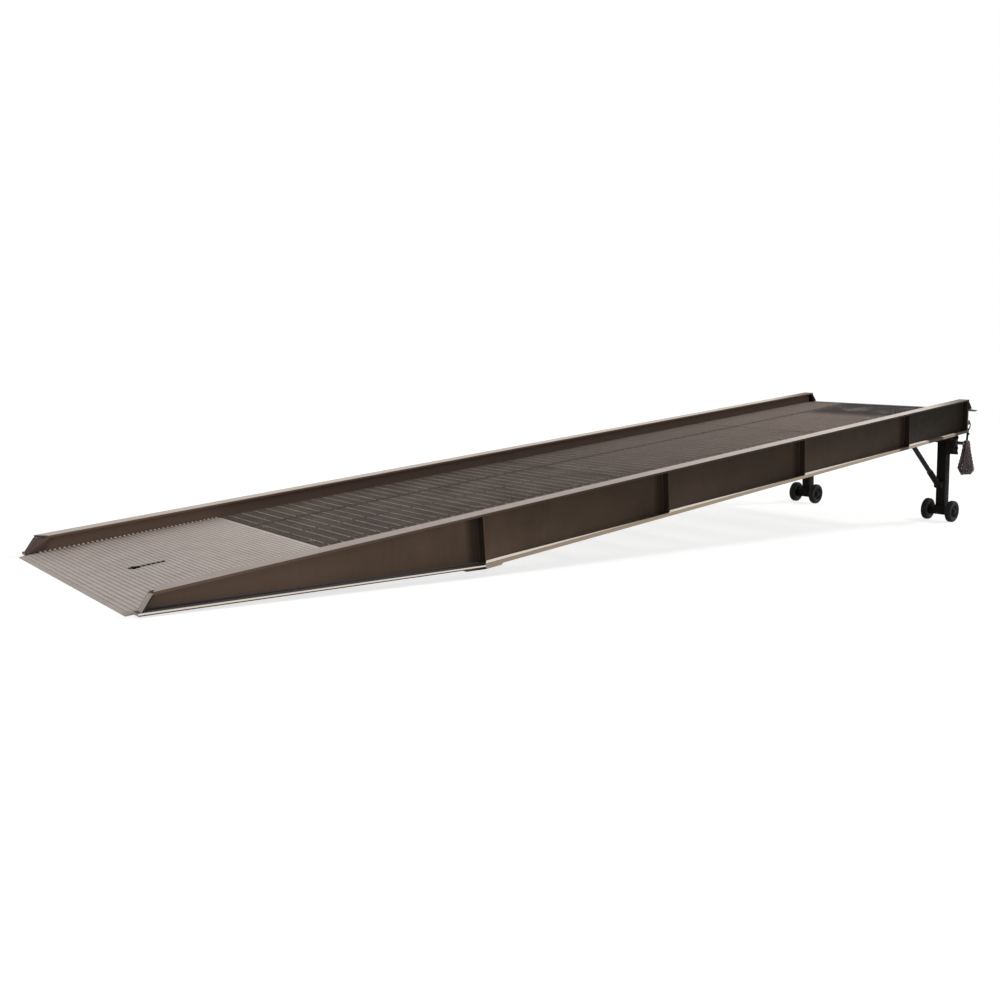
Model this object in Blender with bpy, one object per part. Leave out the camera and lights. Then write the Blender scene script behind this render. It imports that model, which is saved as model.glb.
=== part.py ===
"""Steel yard ramp for loading docks.

Two plate girders form the curbs of a deck with a ribbed approach plate, grating and a lip.
The dock end stands on a wheeled undercarriage, which swings on two pins and is held by two rams.
The ramp frame used below has X up along the deck from the kink in the girders, Y across with
left as +Y, and Z square to the deck with 0 at the top of the curbs.
"""

import math

import bmesh
import bpy
from mathutils import Vector

# Girders, which are the curbs
GIRDER_DEPTH = 0.355
FLANGE_WIDTH = 0.108
FLANGE_THICK = 0.016
FLANGE_INSIDE = 0.041
WEB_THICK = 0.010
DECK_WIDTH = 1.858
CURB_HEIGHT = 0.105
BAY = 1.8288
FULL_BAYS = 3
END_BAY = 1.2476
FLANGE_PAST_WEB = 0.016
TAPER_LENGTH = 2.261
NOSE_DEPTH = 0.110
WEB_NOSE_SETBACK = 0.011
CURB_NOSE_OUTER = 0.089
CURB_NOSE_INNER = 0.154
CURB_END_FOOT = 0.083
STIFFENER_THICK = 0.010
STIFFENER_INSET = 0.001
WEAR_THICK = 0.011
WEAR_BACK = 0.17
WEAR_FRONT = 0.15
WEAR_BEVEL = 0.012

# Approach plate
PLATE_OVERHANG = 0.041
PLATE_THICK = 0.006
PLATE_SIDE_GAP = 0.008
PLATE_EDGE = 0.003
PLATE_BEVEL = 0.020
RIB_HEIGHT = 0.003
RIB_PITCH = 0.0307
RIB_WIDTH = 0.010
RIB_SLOPE = 0.002
KEY_SLOT_WIDTH = 0.016
KEY_SLOT_LENGTH = 0.155
KEY_HOLE_RADIUS = 0.033
KEY_SETBACK = 0.402
APPROACH_BAR_THICK = 0.010
APPROACH_BAR_PLACES = (0.30, 0.70, 1.05)
SEAT_BAR_WIDTH = 0.020

# Grating and the members under it
GRATING_DEPTH = 0.032
GRATING_BAR = 0.030
GRATING_SEAM = 0.004
GRATING_SIDE_GAP = 0.004
GRATING_CELLS_LONG = 5
GRATING_CELLS_WIDE = 4
GRATING_SEAM_HALF_BAYS = (2, 5)
JOIST_DEPTH = 0.100
JOIST_WIDTH = 0.050
JOIST_WALL = 0.006
JOIST_CLEAR = 0.0016
END_BEAM_DEPTH = 0.120
END_BEAM_WIDTH = 0.060
END_PLATE_THICK = 0.012
LIP_THICK = 0.016
LIP_FLAT = 0.056
LIP_REACH = 0.230
LIP_EDGE = 0.005
LIP_BEVEL = 0.045
LIP_SIDE = 0.006

# Undercarriage
LEG_INSET = 0.0533
LEG_WIDTH = 0.096
LEG_WALL = 0.008
LEG_SETBACK = 0.169
LEG_ABOVE_PIVOT = 0.122
PIVOT_DROP = 0.087
PIVOT_PIN_RADIUS = 0.0175
PIVOT_PIN_PROUD = 0.085
PIVOT_HEAD_RADIUS = 0.026
PIVOT_HEAD_THICK = 0.012
BRACKET_GAP = 0.0023
BRACKET_WIDTH = 0.077
BRACKET_LENGTH = 0.100
BRACKET_DEPTH = 0.205
STOP_LENGTH = 0.075
STOP_DEPTH = 0.050
STOP_INSET = 0.076
BOLT_PITCH = 0.0565
BOLT_STEPS = (1, -1, -2)
BOLT_RADIUS = 0.014
BOLT_PROUD = 0.024
CROSS_TUBE_SIZE = 0.080
CROSS_TUBE_WALL = 0.006
CROSS_TUBE_RISE = 0.036
AXLE_DROP = 0.740
AXLE_SETBACK = 0.045
AXLE_RADIUS = 0.016
AXLE_NUT_RADIUS = 0.026
AXLE_NUT_THICK = 0.016
HOUSING_HEIGHT = 0.080
HOUSING_LENGTH = 0.090
FOOT_PLATE_THICK = 0.012
WHEEL_RADIUS = 0.1155
WHEEL_WIDTH = 0.050
WHEEL_OFFSET = 0.1324
RIM_RADIUS = 0.070
RIM_THICK = 0.009
HUB_RADIUS = 0.034
HUB_DISC_THICK = 0.016
TYRE_CROWN = 0.006

# Rams
RAM_TOP_BACK = 0.695
RAM_TOP_RISE = 0.071
RAM_FOOT_STANDOFF = 0.050
RAM_FOOT_DROP = 0.458
RAM_EYE_WIDTH = 0.050
RAM_PIN_RADIUS = 0.012
RAM_PIN_PROUD = 0.006
RAM_EAR_THICK = 0.010
RAM_EAR_RADIUS = 0.030
RAM_EAR_SPREAD = 0.045
LEG_EAR_ARC = (110, 250, 10)
BEAM_EAR_ARC = (180, 360, 12)
BARREL_RADIUS = 0.031
BARREL_LENGTH = 0.270
BARREL_EYE_RADIUS = 0.033
BARREL_NECK_RADIUS = 0.024
BARREL_SHOULDER = 0.036
BARREL_FLOOR = 0.042
ROD_RADIUS = 0.0245
ROD_EYE_RADIUS = 0.028
ROD_ENGAGED = 0.035
RAM_BEAM_DEPTH = 0.163
RAM_BEAM_WIDTH = 0.080
RAM_BEAM_WALL = 0.008

# Hand pump on the left girder's web
PUMP_HALF_BAYS = 5
PUMP_PLATE_LENGTH = 0.300
PUMP_PLATE_HEIGHT = 0.220
PUMP_PLATE_THICK = 0.008
PUMP_CENTRE_DEPTH = 0.180
PUMP_STANDOFF = 0.081
PUMP_RADIUS = 0.030
PUMP_HEIGHT = 0.130
PUMP_BLOCK_LENGTH = 0.050
PUMP_FROM_END = 0.080
PUMP_BORE_DEPTH = 0.100
PLUNGER_RADIUS = 0.008
PLUNGER_TIP_RADIUS = 0.003
PLUNGER_FROM_PIVOT = 0.045
PLUNGER_TOP_GAP = 0.0025
PLUNGER_PLAY = 0.0005
PLUNGER_IN_BORE = 0.080
LEVER_PIVOT_DEPTH = 0.070
LEVER_PIN_RADIUS = 0.006
LEVER_BOSS_RADIUS = 0.016
LEVER_BOSS_WIDTH = 0.026
LEVER_RADIUS = 0.011
LEVER_LENGTH = 0.520
LEVER_REST_ANGLE = math.radians(20)
LEVER_POST_WIDTH = 0.024
LEVER_POST_THICK = 0.012
TANK_LENGTH = 0.170
TANK_HEIGHT = 0.140
TANK_THICK = 0.054
TANK_ROUND = 0.008
TANK_FROM_BORE = 0.045
CAP_FROM_END = 0.057
CAP_RADIUS = 0.016
CAP_HEIGHT = 0.014
KNOB_FROM_END = 0.057
KNOB_RISE = 0.035
KNOB_RADIUS = 0.019
KNOB_THICK = 0.022
KNOB_STEM_RADIUS = 0.008
KNOB_STEM_LENGTH = 0.010
KNOB_HANDLE_LENGTH = 0.042
KNOB_HANDLE_SIZE = 0.009

# Safety chains at the dock end
PAD_EYE_INSET = 0.011
PAD_EYE_THICK = 0.012
PAD_EYE_RADIUS = 0.022
PAD_EYE_REACH = 0.034
PAD_EYE_SPREAD = 0.0352
PAD_EYE_ARC = (-60, 60, 8)
PAD_EYE_DEPTH = 0.248
PAD_EYE_HOLE = 0.012
RING_WIDTH = 0.048
RING_CORNER = 0.010
RING_HEIGHT = 0.080
RING_WIRE = 0.012
CHAIN_THICK = 0.012
CHAIN_NECK = 0.105
CHAIN_LOOPS = 6
CHAIN_LOOP_POINTS = 24
CHAIN_LOOP_STEP = 0.0145
CHAIN_LOOP_LENGTH = 0.345
CHAIN_LOOP_WIDTH = 0.150
CHAIN_GATHER = 0.035
CHAIN_LENGTH_VARIATION = 0.030
CHAIN_WIDTH_VARIATION = 0.012

# Clearances
WELD_GAP = 0.0003
RUNNING_GAP = 0.0009
SIDE_PLAY = 0.0005
RAM_EYE_PLAY = 0.0050
ROUND_SIDES = 16
WHEEL_SIDES = 24
BOLT_SIDES = 6
CAP_SIDES = 12
CORNER_STEPS = 4
BOW_STEPS = 12
NECK_STEPS = 4
SMOOTH_ANGLE = math.radians(35)
TUBE_SIDES = 6

LEVEL_LENGTH = FULL_BAYS * BAY + END_BAY
DECK_HALF = DECK_WIDTH / 2
WEB_OUTER = DECK_HALF + WEB_THICK
FLANGE_INNER = DECK_HALF - FLANGE_INSIDE
FLANGE_OUTER = FLANGE_INNER + FLANGE_WIDTH
DECK_TOP = -CURB_HEIGHT
PLATE_TOP = DECK_TOP - RIB_HEIGHT
PLATE_UNDER = PLATE_TOP - PLATE_THICK
PLATE_TIP = -(TAPER_LENGTH + PLATE_OVERHANG)
PLATE_END = -BAY / 2
GRATING_UNDER = DECK_TOP - GRATING_DEPTH
TAPER_RATE = (GIRDER_DEPTH - NOSE_DEPTH) / TAPER_LENGTH
LEG_OFFSET = DECK_HALF - LEG_INSET - LEG_WIDTH / 2
PAD_EYE_OFFSET = FLANGE_OUTER - PAD_EYE_INSET
LIP_TIP = LEVEL_LENGTH + LIP_REACH
LIP_BEND = LEVEL_LENGTH + LIP_FLAT
PIVOT_X = LEVEL_LENGTH - LEG_SETBACK
PIVOT_Z = -GIRDER_DEPTH - PIVOT_DROP
AXLE_X = PIVOT_X - AXLE_SETBACK
AXLE_Z = PIVOT_Z - AXLE_DROP
RAM_TOP_X = PIVOT_X - RAM_TOP_BACK
RAM_TOP_Z = PIVOT_Z + RAM_TOP_RISE
RAM_FOOT_X = PIVOT_X - LEG_WIDTH / 2 - RAM_FOOT_STANDOFF
RAM_FOOT_Z = PIVOT_Z - RAM_FOOT_DROP
RAM_LENGTH = math.hypot(RAM_TOP_X - RAM_FOOT_X, RAM_TOP_Z - RAM_FOOT_Z)
PUMP_X = PUMP_HALF_BAYS * BAY / 2
SIDES = (("left", 1), ("right", -1))


def deck_slope():
    """Angle at which the plate's tip and the wheels stand on one level floor."""
    run = AXLE_X - PLATE_TIP
    drop = PLATE_UNDER - AXLE_Z
    return math.atan2(drop, run) + math.asin(WHEEL_RADIUS / math.hypot(run, drop))


SLOPE = deck_slope()


def girder_bottom(x):
    """Height of the girder's underside, which rises from the kink to the nose."""
    return -GIRDER_DEPTH + max(0.0, -x) * TAPER_RATE


def frame_offset():
    """World place of the ramp frame: the origin is on the floor, midway between tip and lip."""
    level_x = math.cos(SLOPE)
    rise = math.sin(SLOPE)
    low_x = PLATE_TIP * level_x - (PLATE_UNDER + PLATE_EDGE) * rise
    low_z = PLATE_TIP * rise + PLATE_UNDER * level_x
    high_x = LIP_TIP * level_x - lip_top(LIP_TIP) * rise
    return Vector((-(low_x + high_x) / 2, 0.0, -low_z))


def lip_top(x):
    """Height of the lip's top, which bends at the deck's end to lie level."""
    return DECK_TOP - max(0.0, x - LIP_BEND) * math.tan(SLOPE)


def finish(name, colour, roughness, metallic):
    """A plain Principled material."""
    material = bpy.data.materials.new(name)
    material.use_nodes = True
    shader = material.node_tree.nodes["Principled BSDF"]
    shader.inputs["Base Color"].default_value = (*colour, 1.0)
    shader.inputs["Roughness"].default_value = roughness
    shader.inputs["Metallic"].default_value = metallic
    material.diffuse_color = (*colour, 1.0)
    return material


def clear_scene():
    """Remove every object that the opening file holds."""
    for item in list(bpy.data.objects):
        bpy.data.objects.remove(item, do_unlink=True)


def add_empty(name, place, parent=None, tilt=0.0):
    """An empty that carries pieces, tilted about Y."""
    empty = bpy.data.objects.new(name, None)
    bpy.context.scene.collection.objects.link(empty)
    empty.parent = parent
    empty.location = place
    empty.rotation_euler = (0.0, tilt, 0.0)
    return empty


def mesh_from_bmesh(name, shape):
    """Store a bmesh as a mesh with its faces pointing out."""
    bmesh.ops.recalc_face_normals(shape, faces=shape.faces)
    mesh = bpy.data.meshes.new(name)
    shape.to_mesh(mesh)
    shape.free()
    return mesh


def prism(name, outline, axis, low, high):
    """Extrude a closed outline along one axis; the outline is in the other two, in order."""
    spots = {"X": (1, 2, 0), "Y": (0, 2, 1), "Z": (0, 1, 2)}[axis]
    shape = bmesh.new()
    rings = []
    for level in (low, high):
        ring = []
        for first, second in outline:
            corner = [0.0, 0.0, 0.0]
            corner[spots[0]] = first
            corner[spots[1]] = second
            corner[spots[2]] = level
            ring.append(shape.verts.new(corner))
        rings.append(ring)
    shape.faces.new(rings[0])
    shape.faces.new(list(reversed(rings[1])))
    for index in range(len(outline)):
        after = (index + 1) % len(outline)
        shape.faces.new((rings[0][index], rings[0][after], rings[1][after], rings[1][index]))
    return mesh_from_bmesh(name, shape)


def block(name, x_span, y_span, z_span):
    """A rectangular block."""
    low, high = z_span
    outline = [(x_span[0], low), (x_span[1], low), (x_span[1], high), (x_span[0], high)]
    return prism(name, outline, "Y", *y_span)


def turned(name, profile, axis, sides=ROUND_SIDES, through=True):
    """Turn a profile of (radius, place) about an axis; a bored profile closes on itself."""
    spots = {"X": (1, 2, 0), "Y": (0, 2, 1), "Z": (0, 1, 2)}[axis]
    shape = bmesh.new()
    rings = []
    for radius, place in profile:
        ring = []
        for step in range(sides):
            angle = 2 * math.pi * step / sides
            corner = [0.0, 0.0, 0.0]
            corner[spots[0]] = radius * math.cos(angle)
            corner[spots[1]] = radius * math.sin(angle)
            corner[spots[2]] = place
            ring.append(shape.verts.new(corner))
        rings.append(ring)
    count = len(rings) if through else len(rings) - 1
    for index in range(count):
        near = rings[index]
        far = rings[(index + 1) % len(rings)]
        for step in range(sides):
            after = (step + 1) % sides
            shape.faces.new((near[step], near[after], far[after], far[step]))
    if not through:
        shape.faces.new(rings[0])
        shape.faces.new(rings[-1])
    return mesh_from_bmesh(name, shape)


def rod(name, radius, axis, low, high, sides=ROUND_SIDES):
    """A plain round bar about the local axis."""
    return turned(name, [(radius, low), (radius, high)], axis, sides, through=False)


def ring_bar(name, outer, bore, axis, low, high):
    """A round bar with a bore right through."""
    return turned(name, [(bore, low), (outer, low), (outer, high), (bore, high)], axis)


def bore_radius(shaft, sides=ROUND_SIDES):
    """Bore whose flats clear the shaft by the running gap."""
    return (shaft + RUNNING_GAP) / math.cos(math.pi / sides)


def shift(mesh, x=0.0, y=0.0, z=0.0):
    """Move a mesh's points."""
    for vertex in mesh.vertices:
        vertex.co += Vector((x, y, z))
    return mesh


def tilt_mesh(mesh, angle):
    """Turn a mesh's points about its Y axis."""
    cosine = math.cos(angle)
    sine = math.sin(angle)
    for vertex in mesh.vertices:
        x, y, z = vertex.co
        vertex.co = (x * cosine + z * sine, y, z * cosine - x * sine)
    return mesh


def span(sign, inner, outer):
    """The Y span between two distances from the middle, on the side that sign names."""
    return tuple(sorted((sign * inner, sign * outer)))


def arc(centre_x, centre_z, radius, start, end, steps):
    """Points along an arc in the XZ plane, with angles in degrees."""
    points = []
    for step in range(steps + 1):
        angle = math.radians(start + (end - start) * step / steps)
        points.append((centre_x + radius * math.cos(angle), centre_z + radius * math.sin(angle)))
    return points


class Ramp:
    """Holds the ramp frame and places pieces in it."""

    def __init__(self):
        self.frame = add_empty("ramp_frame", frame_offset(), tilt=-SLOPE)
        self.steel = finish("curb_steel", (0.16, 0.13, 0.11), 0.55, 0.2)
        self.plate = finish("approach_steel", (0.42, 0.38, 0.34), 0.5, 0.4)
        self.grate = finish("grating_steel", (0.10, 0.09, 0.08), 0.6, 0.3)
        self.leg = finish("leg_steel", (0.06, 0.055, 0.05), 0.5, 0.2)
        self.rubber = finish("wheel_tread", (0.015, 0.015, 0.015), 0.8, 0.0)
        self.iron = finish("wheel_iron", (0.05, 0.05, 0.05), 0.6, 0.5)
        self.bright = finish("bright_steel", (0.45, 0.44, 0.42), 0.3, 1.0)
        self.chain = finish("chain_steel", (0.12, 0.10, 0.09), 0.5, 0.8)
        self.pump = finish("pump_paint", (0.20, 0.05, 0.04), 0.4, 0.2)

    def place(self, name, mesh, material, origin=(0.0, 0.0, 0.0), parent=None, smooth=False):
        """Put a mesh that is drawn about its own origin in the frame."""
        item = bpy.data.objects.new(name, mesh)
        bpy.context.scene.collection.objects.link(item)
        item.parent = parent or self.frame
        item.location = origin
        mesh.name = name
        mesh.materials.append(material)
        if smooth:
            mesh.shade_smooth()
            mesh.set_sharp_from_angle(angle=SMOOTH_ANGLE)
        return item

    def combine(self, item, mesh, operation):
        """Add or cut a shape drawn about the same origin, by a live Boolean."""
        guide = bpy.data.objects.new(f"{item.name}_guide_{len(item.modifiers)}", mesh)
        bpy.context.scene.collection.objects.link(guide)
        guide.parent = item
        guide.hide_render = True
        guide.display_type = "WIRE"
        modifier = item.modifiers.new(operation.lower(), "BOOLEAN")
        modifier.operation = operation
        modifier.solver = "EXACT"
        modifier.object = guide
        return item


def build_girder(ramp, side, sign):
    """A tapered I-girder whose top is the curb."""
    nose = -TAPER_LENGTH
    half = FLANGE_THICK / 2
    web = [
        (nose + WEB_NOSE_SETBACK, -NOSE_DEPTH + half),
        (nose + CURB_NOSE_OUTER, -half),
        (LEVEL_LENGTH, -half),
        (LEVEL_LENGTH, -GIRDER_DEPTH + half),
        (0.0, -GIRDER_DEPTH + half),
    ]
    low_flange = [
        (nose, -NOSE_DEPTH),
        (0.0, -GIRDER_DEPTH),
        (LEVEL_LENGTH, -GIRDER_DEPTH),
        (LEVEL_LENGTH, -GIRDER_DEPTH + FLANGE_THICK),
        (0.0, -GIRDER_DEPTH + FLANGE_THICK),
        (nose, -NOSE_DEPTH + FLANGE_THICK),
    ]
    top_flange = [
        (nose + CURB_NOSE_OUTER, sign * FLANGE_OUTER),
        (LEVEL_LENGTH + FLANGE_PAST_WEB, sign * FLANGE_OUTER),
        (LEVEL_LENGTH + FLANGE_PAST_WEB, sign * FLANGE_INNER),
        (nose + CURB_NOSE_INNER, sign * FLANGE_INNER),
    ]
    flange_span = span(sign, FLANGE_INNER, FLANGE_OUTER)
    web_span = span(sign, DECK_HALF, WEB_OUTER)
    trim_span = span(sign, FLANGE_INNER - FLANGE_WIDTH, DECK_HALF + WELD_GAP)
    name = f"girder_{side}"
    girder = ramp.place(name, prism(name, low_flange, "Y", *flange_span), ramp.steel)
    trim = (PLATE_UNDER - WELD_GAP, -CURB_HEIGHT / 2)
    ramp.combine(girder, block("trim", (PLATE_TIP, PLATE_END), trim_span, trim), "DIFFERENCE")
    ramp.combine(girder, prism("web", web, "Y", *web_span), "UNION")
    ramp.combine(girder, prism("top_flange", top_flange, "Z", -FLANGE_THICK, 0.0), "UNION")
    stiffener_span = span(sign, DECK_HALF + WEB_THICK / 2, FLANGE_OUTER - STIFFENER_INSET)
    stiffener_height = (-GIRDER_DEPTH + half, -half)
    for x in stiffener_places():
        plate = block("stiffener", (x, x + STIFFENER_THICK), stiffener_span, stiffener_height)
        ramp.combine(girder, plate, "UNION")


def stiffener_places():
    """Low face of each welded stiffener on the outer side of the web."""
    places = [index * BAY for index in range(FULL_BAYS + 1)]
    places.append(LEVEL_LENGTH - 2 * STIFFENER_THICK)
    return places


def build_wear_plates(ramp):
    """Bent plates under the kink, on which the ramp rests when the undercarriage is up."""
    back = girder_bottom(-WEAR_BACK)
    inset = girder_bottom(-WEAR_BACK + WEAR_BEVEL)
    outline = [
        (-WEAR_BACK, back - WELD_GAP),
        (0.0, -GIRDER_DEPTH - WELD_GAP),
        (WEAR_FRONT, -GIRDER_DEPTH - WELD_GAP),
        (WEAR_FRONT - WEAR_BEVEL, -GIRDER_DEPTH - WEAR_THICK),
        (0.0, -GIRDER_DEPTH - WEAR_THICK),
        (-WEAR_BACK + WEAR_BEVEL, inset - WEAR_THICK),
    ]
    for side, sign in SIDES:
        name = f"wear_plate_{side}"
        mesh = prism(name, outline, "Y", *span(sign, FLANGE_INNER, FLANGE_OUTER))
        ramp.place(name, mesh, ramp.steel)


def build_curb_ends(ramp):
    """Wedges that close the corner between web and flange at the low end of each curb."""
    nose = -TAPER_LENGTH
    inner_web = DECK_HALF - WELD_GAP
    for side, sign in SIDES:
        name = f"curb_end_{side}"
        shape = bmesh.new()
        foot = DECK_TOP + WELD_GAP
        head = -FLANGE_THICK - WELD_GAP
        reach = PLATE_SIDE_GAP / 2
        corners = [
            (nose + WEB_NOSE_SETBACK, inner_web, foot),
            (nose + WEB_NOSE_SETBACK + CURB_END_FOOT, inner_web, foot),
            (nose + CURB_NOSE_OUTER, inner_web, head),
            (nose + CURB_NOSE_INNER, inner_web, head),
            (nose + CURB_NOSE_INNER, FLANGE_INNER, head),
            (nose + WEB_NOSE_SETBACK + CURB_END_FOOT, inner_web - reach, foot),
        ]
        points = [shape.verts.new((x, sign * y, z)) for x, y, z in corners]
        bmesh.ops.convex_hull(shape, input=points)
        ramp.place(name, mesh_from_bmesh(name, shape), ramp.steel)


def approach_profile():
    """Section of the approach plate along X, with its cross ribs."""
    end = PLATE_END - WELD_GAP
    outline = [(end, PLATE_TOP), (end, PLATE_UNDER), (PLATE_TIP, PLATE_UNDER)]
    outline.append((PLATE_TIP, PLATE_UNDER + PLATE_EDGE))
    outline.append((PLATE_TIP + PLATE_BEVEL, PLATE_TOP))
    count = int((end - PLATE_TIP - PLATE_BEVEL) / RIB_PITCH)
    for index in range(count):
        middle = PLATE_TIP + PLATE_BEVEL + (index + 0.5) * RIB_PITCH
        outline.append((middle - RIB_WIDTH / 2, PLATE_TOP))
        outline.append((middle - RIB_WIDTH / 2 + RIB_SLOPE, DECK_TOP))
        outline.append((middle + RIB_WIDTH / 2 - RIB_SLOPE, DECK_TOP))
        outline.append((middle + RIB_WIDTH / 2, PLATE_TOP))
    return outline


def build_approach_plate(ramp):
    """Ribbed plate with a keyhole for a lifting chain, and the bars on edge welded under it."""
    half = DECK_HALF - PLATE_SIDE_GAP
    mesh = prism("approach_plate", approach_profile(), "Y", -half, half)
    plate = ramp.place("approach_plate", mesh, ramp.plate)
    hole_x = PLATE_TIP + KEY_SETBACK
    deep = PLATE_UNDER - PLATE_THICK
    high = DECK_TOP + PLATE_THICK
    slot_start = KEY_HOLE_RADIUS / 2
    slot_end = KEY_HOLE_RADIUS + KEY_SLOT_LENGTH
    side = KEY_SLOT_WIDTH / 2
    hole = shift(rod("hole", KEY_HOLE_RADIUS, "Z", deep, high), x=hole_x)
    slot = block("slot", (hole_x + slot_start, hole_x + slot_end), (-side, side), (deep, high))
    ramp.combine(plate, hole, "DIFFERENCE")
    ramp.combine(plate, slot, "DIFFERENCE")
    bar_half = FLANGE_INNER - WELD_GAP
    middle = PLATE_UNDER + PLATE_THICK / 2
    for setback in APPROACH_BAR_PLACES:
        x = PLATE_TIP + setback
        x_span = (x, x + APPROACH_BAR_THICK)
        bar = block("bar", x_span, (-bar_half, bar_half), (girder_bottom(x), middle))
        ramp.combine(plate, bar, "UNION")
    seat_x = (PLATE_END - SEAT_BAR_WIDTH, PLATE_END - 2 * WELD_GAP)
    seat = block("seat", seat_x, (WELD_GAP - half, half - WELD_GAP), (GRATING_UNDER, middle))
    ramp.combine(plate, seat, "UNION")


def channel(name, x, top, depth, width, wall, half):
    """A channel across the ramp, open toward the dock, centred on x."""
    low = top - depth
    back = x - width / 2
    front = x + width / 2
    outline = [
        (back, low),
        (front, low),
        (front, low + wall),
        (back + wall, low + wall),
        (back + wall, top - wall),
        (front, top - wall),
        (front, top),
        (back, top),
    ]
    return prism(name, outline, "Y", -half, half)


def build_joists(ramp):
    """Cross members under the grating, two to a bay."""
    half = DECK_HALF - WELD_GAP
    top = GRATING_UNDER - WELD_GAP
    for index in range(2 * FULL_BAYS + 2):
        x = PLATE_END + index * BAY / 2
        name = f"joist_{index + 1}"
        flange_top = girder_bottom(x - JOIST_WIDTH / 2) + FLANGE_THICK + JOIST_CLEAR
        depth = min(JOIST_DEPTH, top - flange_top)
        mesh = channel(name, x, top, depth, JOIST_WIDTH, JOIST_WALL, half)
        ramp.place(name, mesh, ramp.steel)
    beam_x = LEVEL_LENGTH - WELD_GAP - END_BEAM_WIDTH / 2
    mesh = channel("end_beam", beam_x, top, END_BEAM_DEPTH, END_BEAM_WIDTH, JOIST_WALL, half)
    ramp.place("end_beam", mesh, ramp.steel)


def grid(name, x_span, y_span, z_span, cells_long, cells_wide):
    """A flat panel with a grid of square-cornered openings."""
    def lines(low, high, cells):
        """Edges of the bars along one direction."""
        pitch = (high - low - GRATING_BAR) / cells
        marks = []
        for index in range(cells + 1):
            marks.extend((low + index * pitch, low + index * pitch + GRATING_BAR))
        return marks

    xs = lines(x_span[0], x_span[1], cells_long)
    ys = lines(y_span[0], y_span[1], cells_wide)
    shape = bmesh.new()
    corners = {}
    for level, z in enumerate(z_span):
        for column, x in enumerate(xs):
            for row, y in enumerate(ys):
                corners[level, column, row] = shape.verts.new((x, y, z))

    def solid(column, row):
        """Whether a cell of the lattice is metal."""
        inside = 0 <= column < len(xs) - 1 and 0 <= row < len(ys) - 1
        return inside and not (column % 2 and row % 2)

    for column in range(len(xs) - 1):
        for row in range(len(ys) - 1):
            if not solid(column, row):
                continue
            around = [(column, row), (column + 1, row), (column + 1, row + 1), (column, row + 1)]
            for level in (0, 1):
                shape.faces.new([corners[(level, *spot)] for spot in around])
            neighbours = [(column, row - 1), (column + 1, row), (column, row + 1), (column - 1, row)]
            for index, beside in enumerate(neighbours):
                if not solid(*beside):
                    first = around[index]
                    second = around[(index + 1) % 4]
                    wall = [(0, *first), (0, *second), (1, *second), (1, *first)]
                    shape.faces.new([corners[key] for key in wall])
    return mesh_from_bmesh(name, shape)


def build_grating(ramp):
    """Grating panels, two across, with their cross seams over joists."""
    seams = [PLATE_END] + [halves * BAY / 2 for halves in GRATING_SEAM_HALF_BAYS] + [LEVEL_LENGTH]
    gap = GRATING_SEAM / 2
    inner = gap
    outer = DECK_HALF - GRATING_SIDE_GAP
    z_span = (GRATING_UNDER, DECK_TOP)
    for side, sign in SIDES:
        y_span = span(sign, inner, outer)
        for index in range(len(seams) - 1):
            name = f"grating_{side}_{index + 1}"
            x_span = (seams[index] + gap, seams[index + 1] - gap)
            mesh = grid(name, x_span, y_span, z_span, GRATING_CELLS_LONG, GRATING_CELLS_WIDE)
            ramp.place(name, mesh, ramp.grate)


def build_dock_end(ramp):
    """The end plate with its pad eyes, and the lip that bridges to the dock."""
    near = LEVEL_LENGTH + WELD_GAP
    far = near + END_PLATE_THICK
    top = DECK_TOP - LIP_THICK - WELD_GAP
    mesh = block("end_plate", (near, far), (-FLANGE_OUTER, FLANGE_OUTER), (-GIRDER_DEPTH, top))
    plate = ramp.place("end_plate", mesh, ramp.steel)
    eye_x = far + PAD_EYE_REACH
    for side, sign in SIDES:
        near_side = PAD_EYE_OFFSET - PAD_EYE_THICK / 2
        y_span = span(sign, near_side, near_side + PAD_EYE_THICK)
        root = far - END_PLATE_THICK / 2
        outline = [(root, -PAD_EYE_DEPTH - PAD_EYE_SPREAD)]
        outline += arc(eye_x, -PAD_EYE_DEPTH, PAD_EYE_RADIUS, *PAD_EYE_ARC)
        outline.append((root, -PAD_EYE_DEPTH + PAD_EYE_SPREAD))
        ramp.combine(plate, prism(f"ear_{side}", outline, "Y", *y_span), "UNION")
        hole_span = (y_span[0] - PAD_EYE_THICK, y_span[1] + PAD_EYE_THICK)
        hole = rod(f"ear_hole_{side}", PAD_EYE_HOLE, "Y", *hole_span)
        ramp.combine(plate, shift(hole, x=eye_x, z=-PAD_EYE_DEPTH), "DIFFERENCE")
    tip_top = lip_top(LIP_TIP)
    bevel_x = LIP_TIP - LIP_BEVEL
    lip = [
        (near, DECK_TOP),
        (LIP_BEND, DECK_TOP),
        (LIP_TIP, tip_top),
        (LIP_TIP, tip_top - LIP_EDGE),
        (bevel_x, lip_top(bevel_x) - LIP_THICK),
        (LIP_BEND, DECK_TOP - LIP_THICK),
        (near, DECK_TOP - LIP_THICK),
    ]
    half = FLANGE_OUTER - LIP_SIDE
    ramp.place("lip_plate", prism("lip_plate", lip, "Y", -half, half), ramp.steel)


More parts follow.
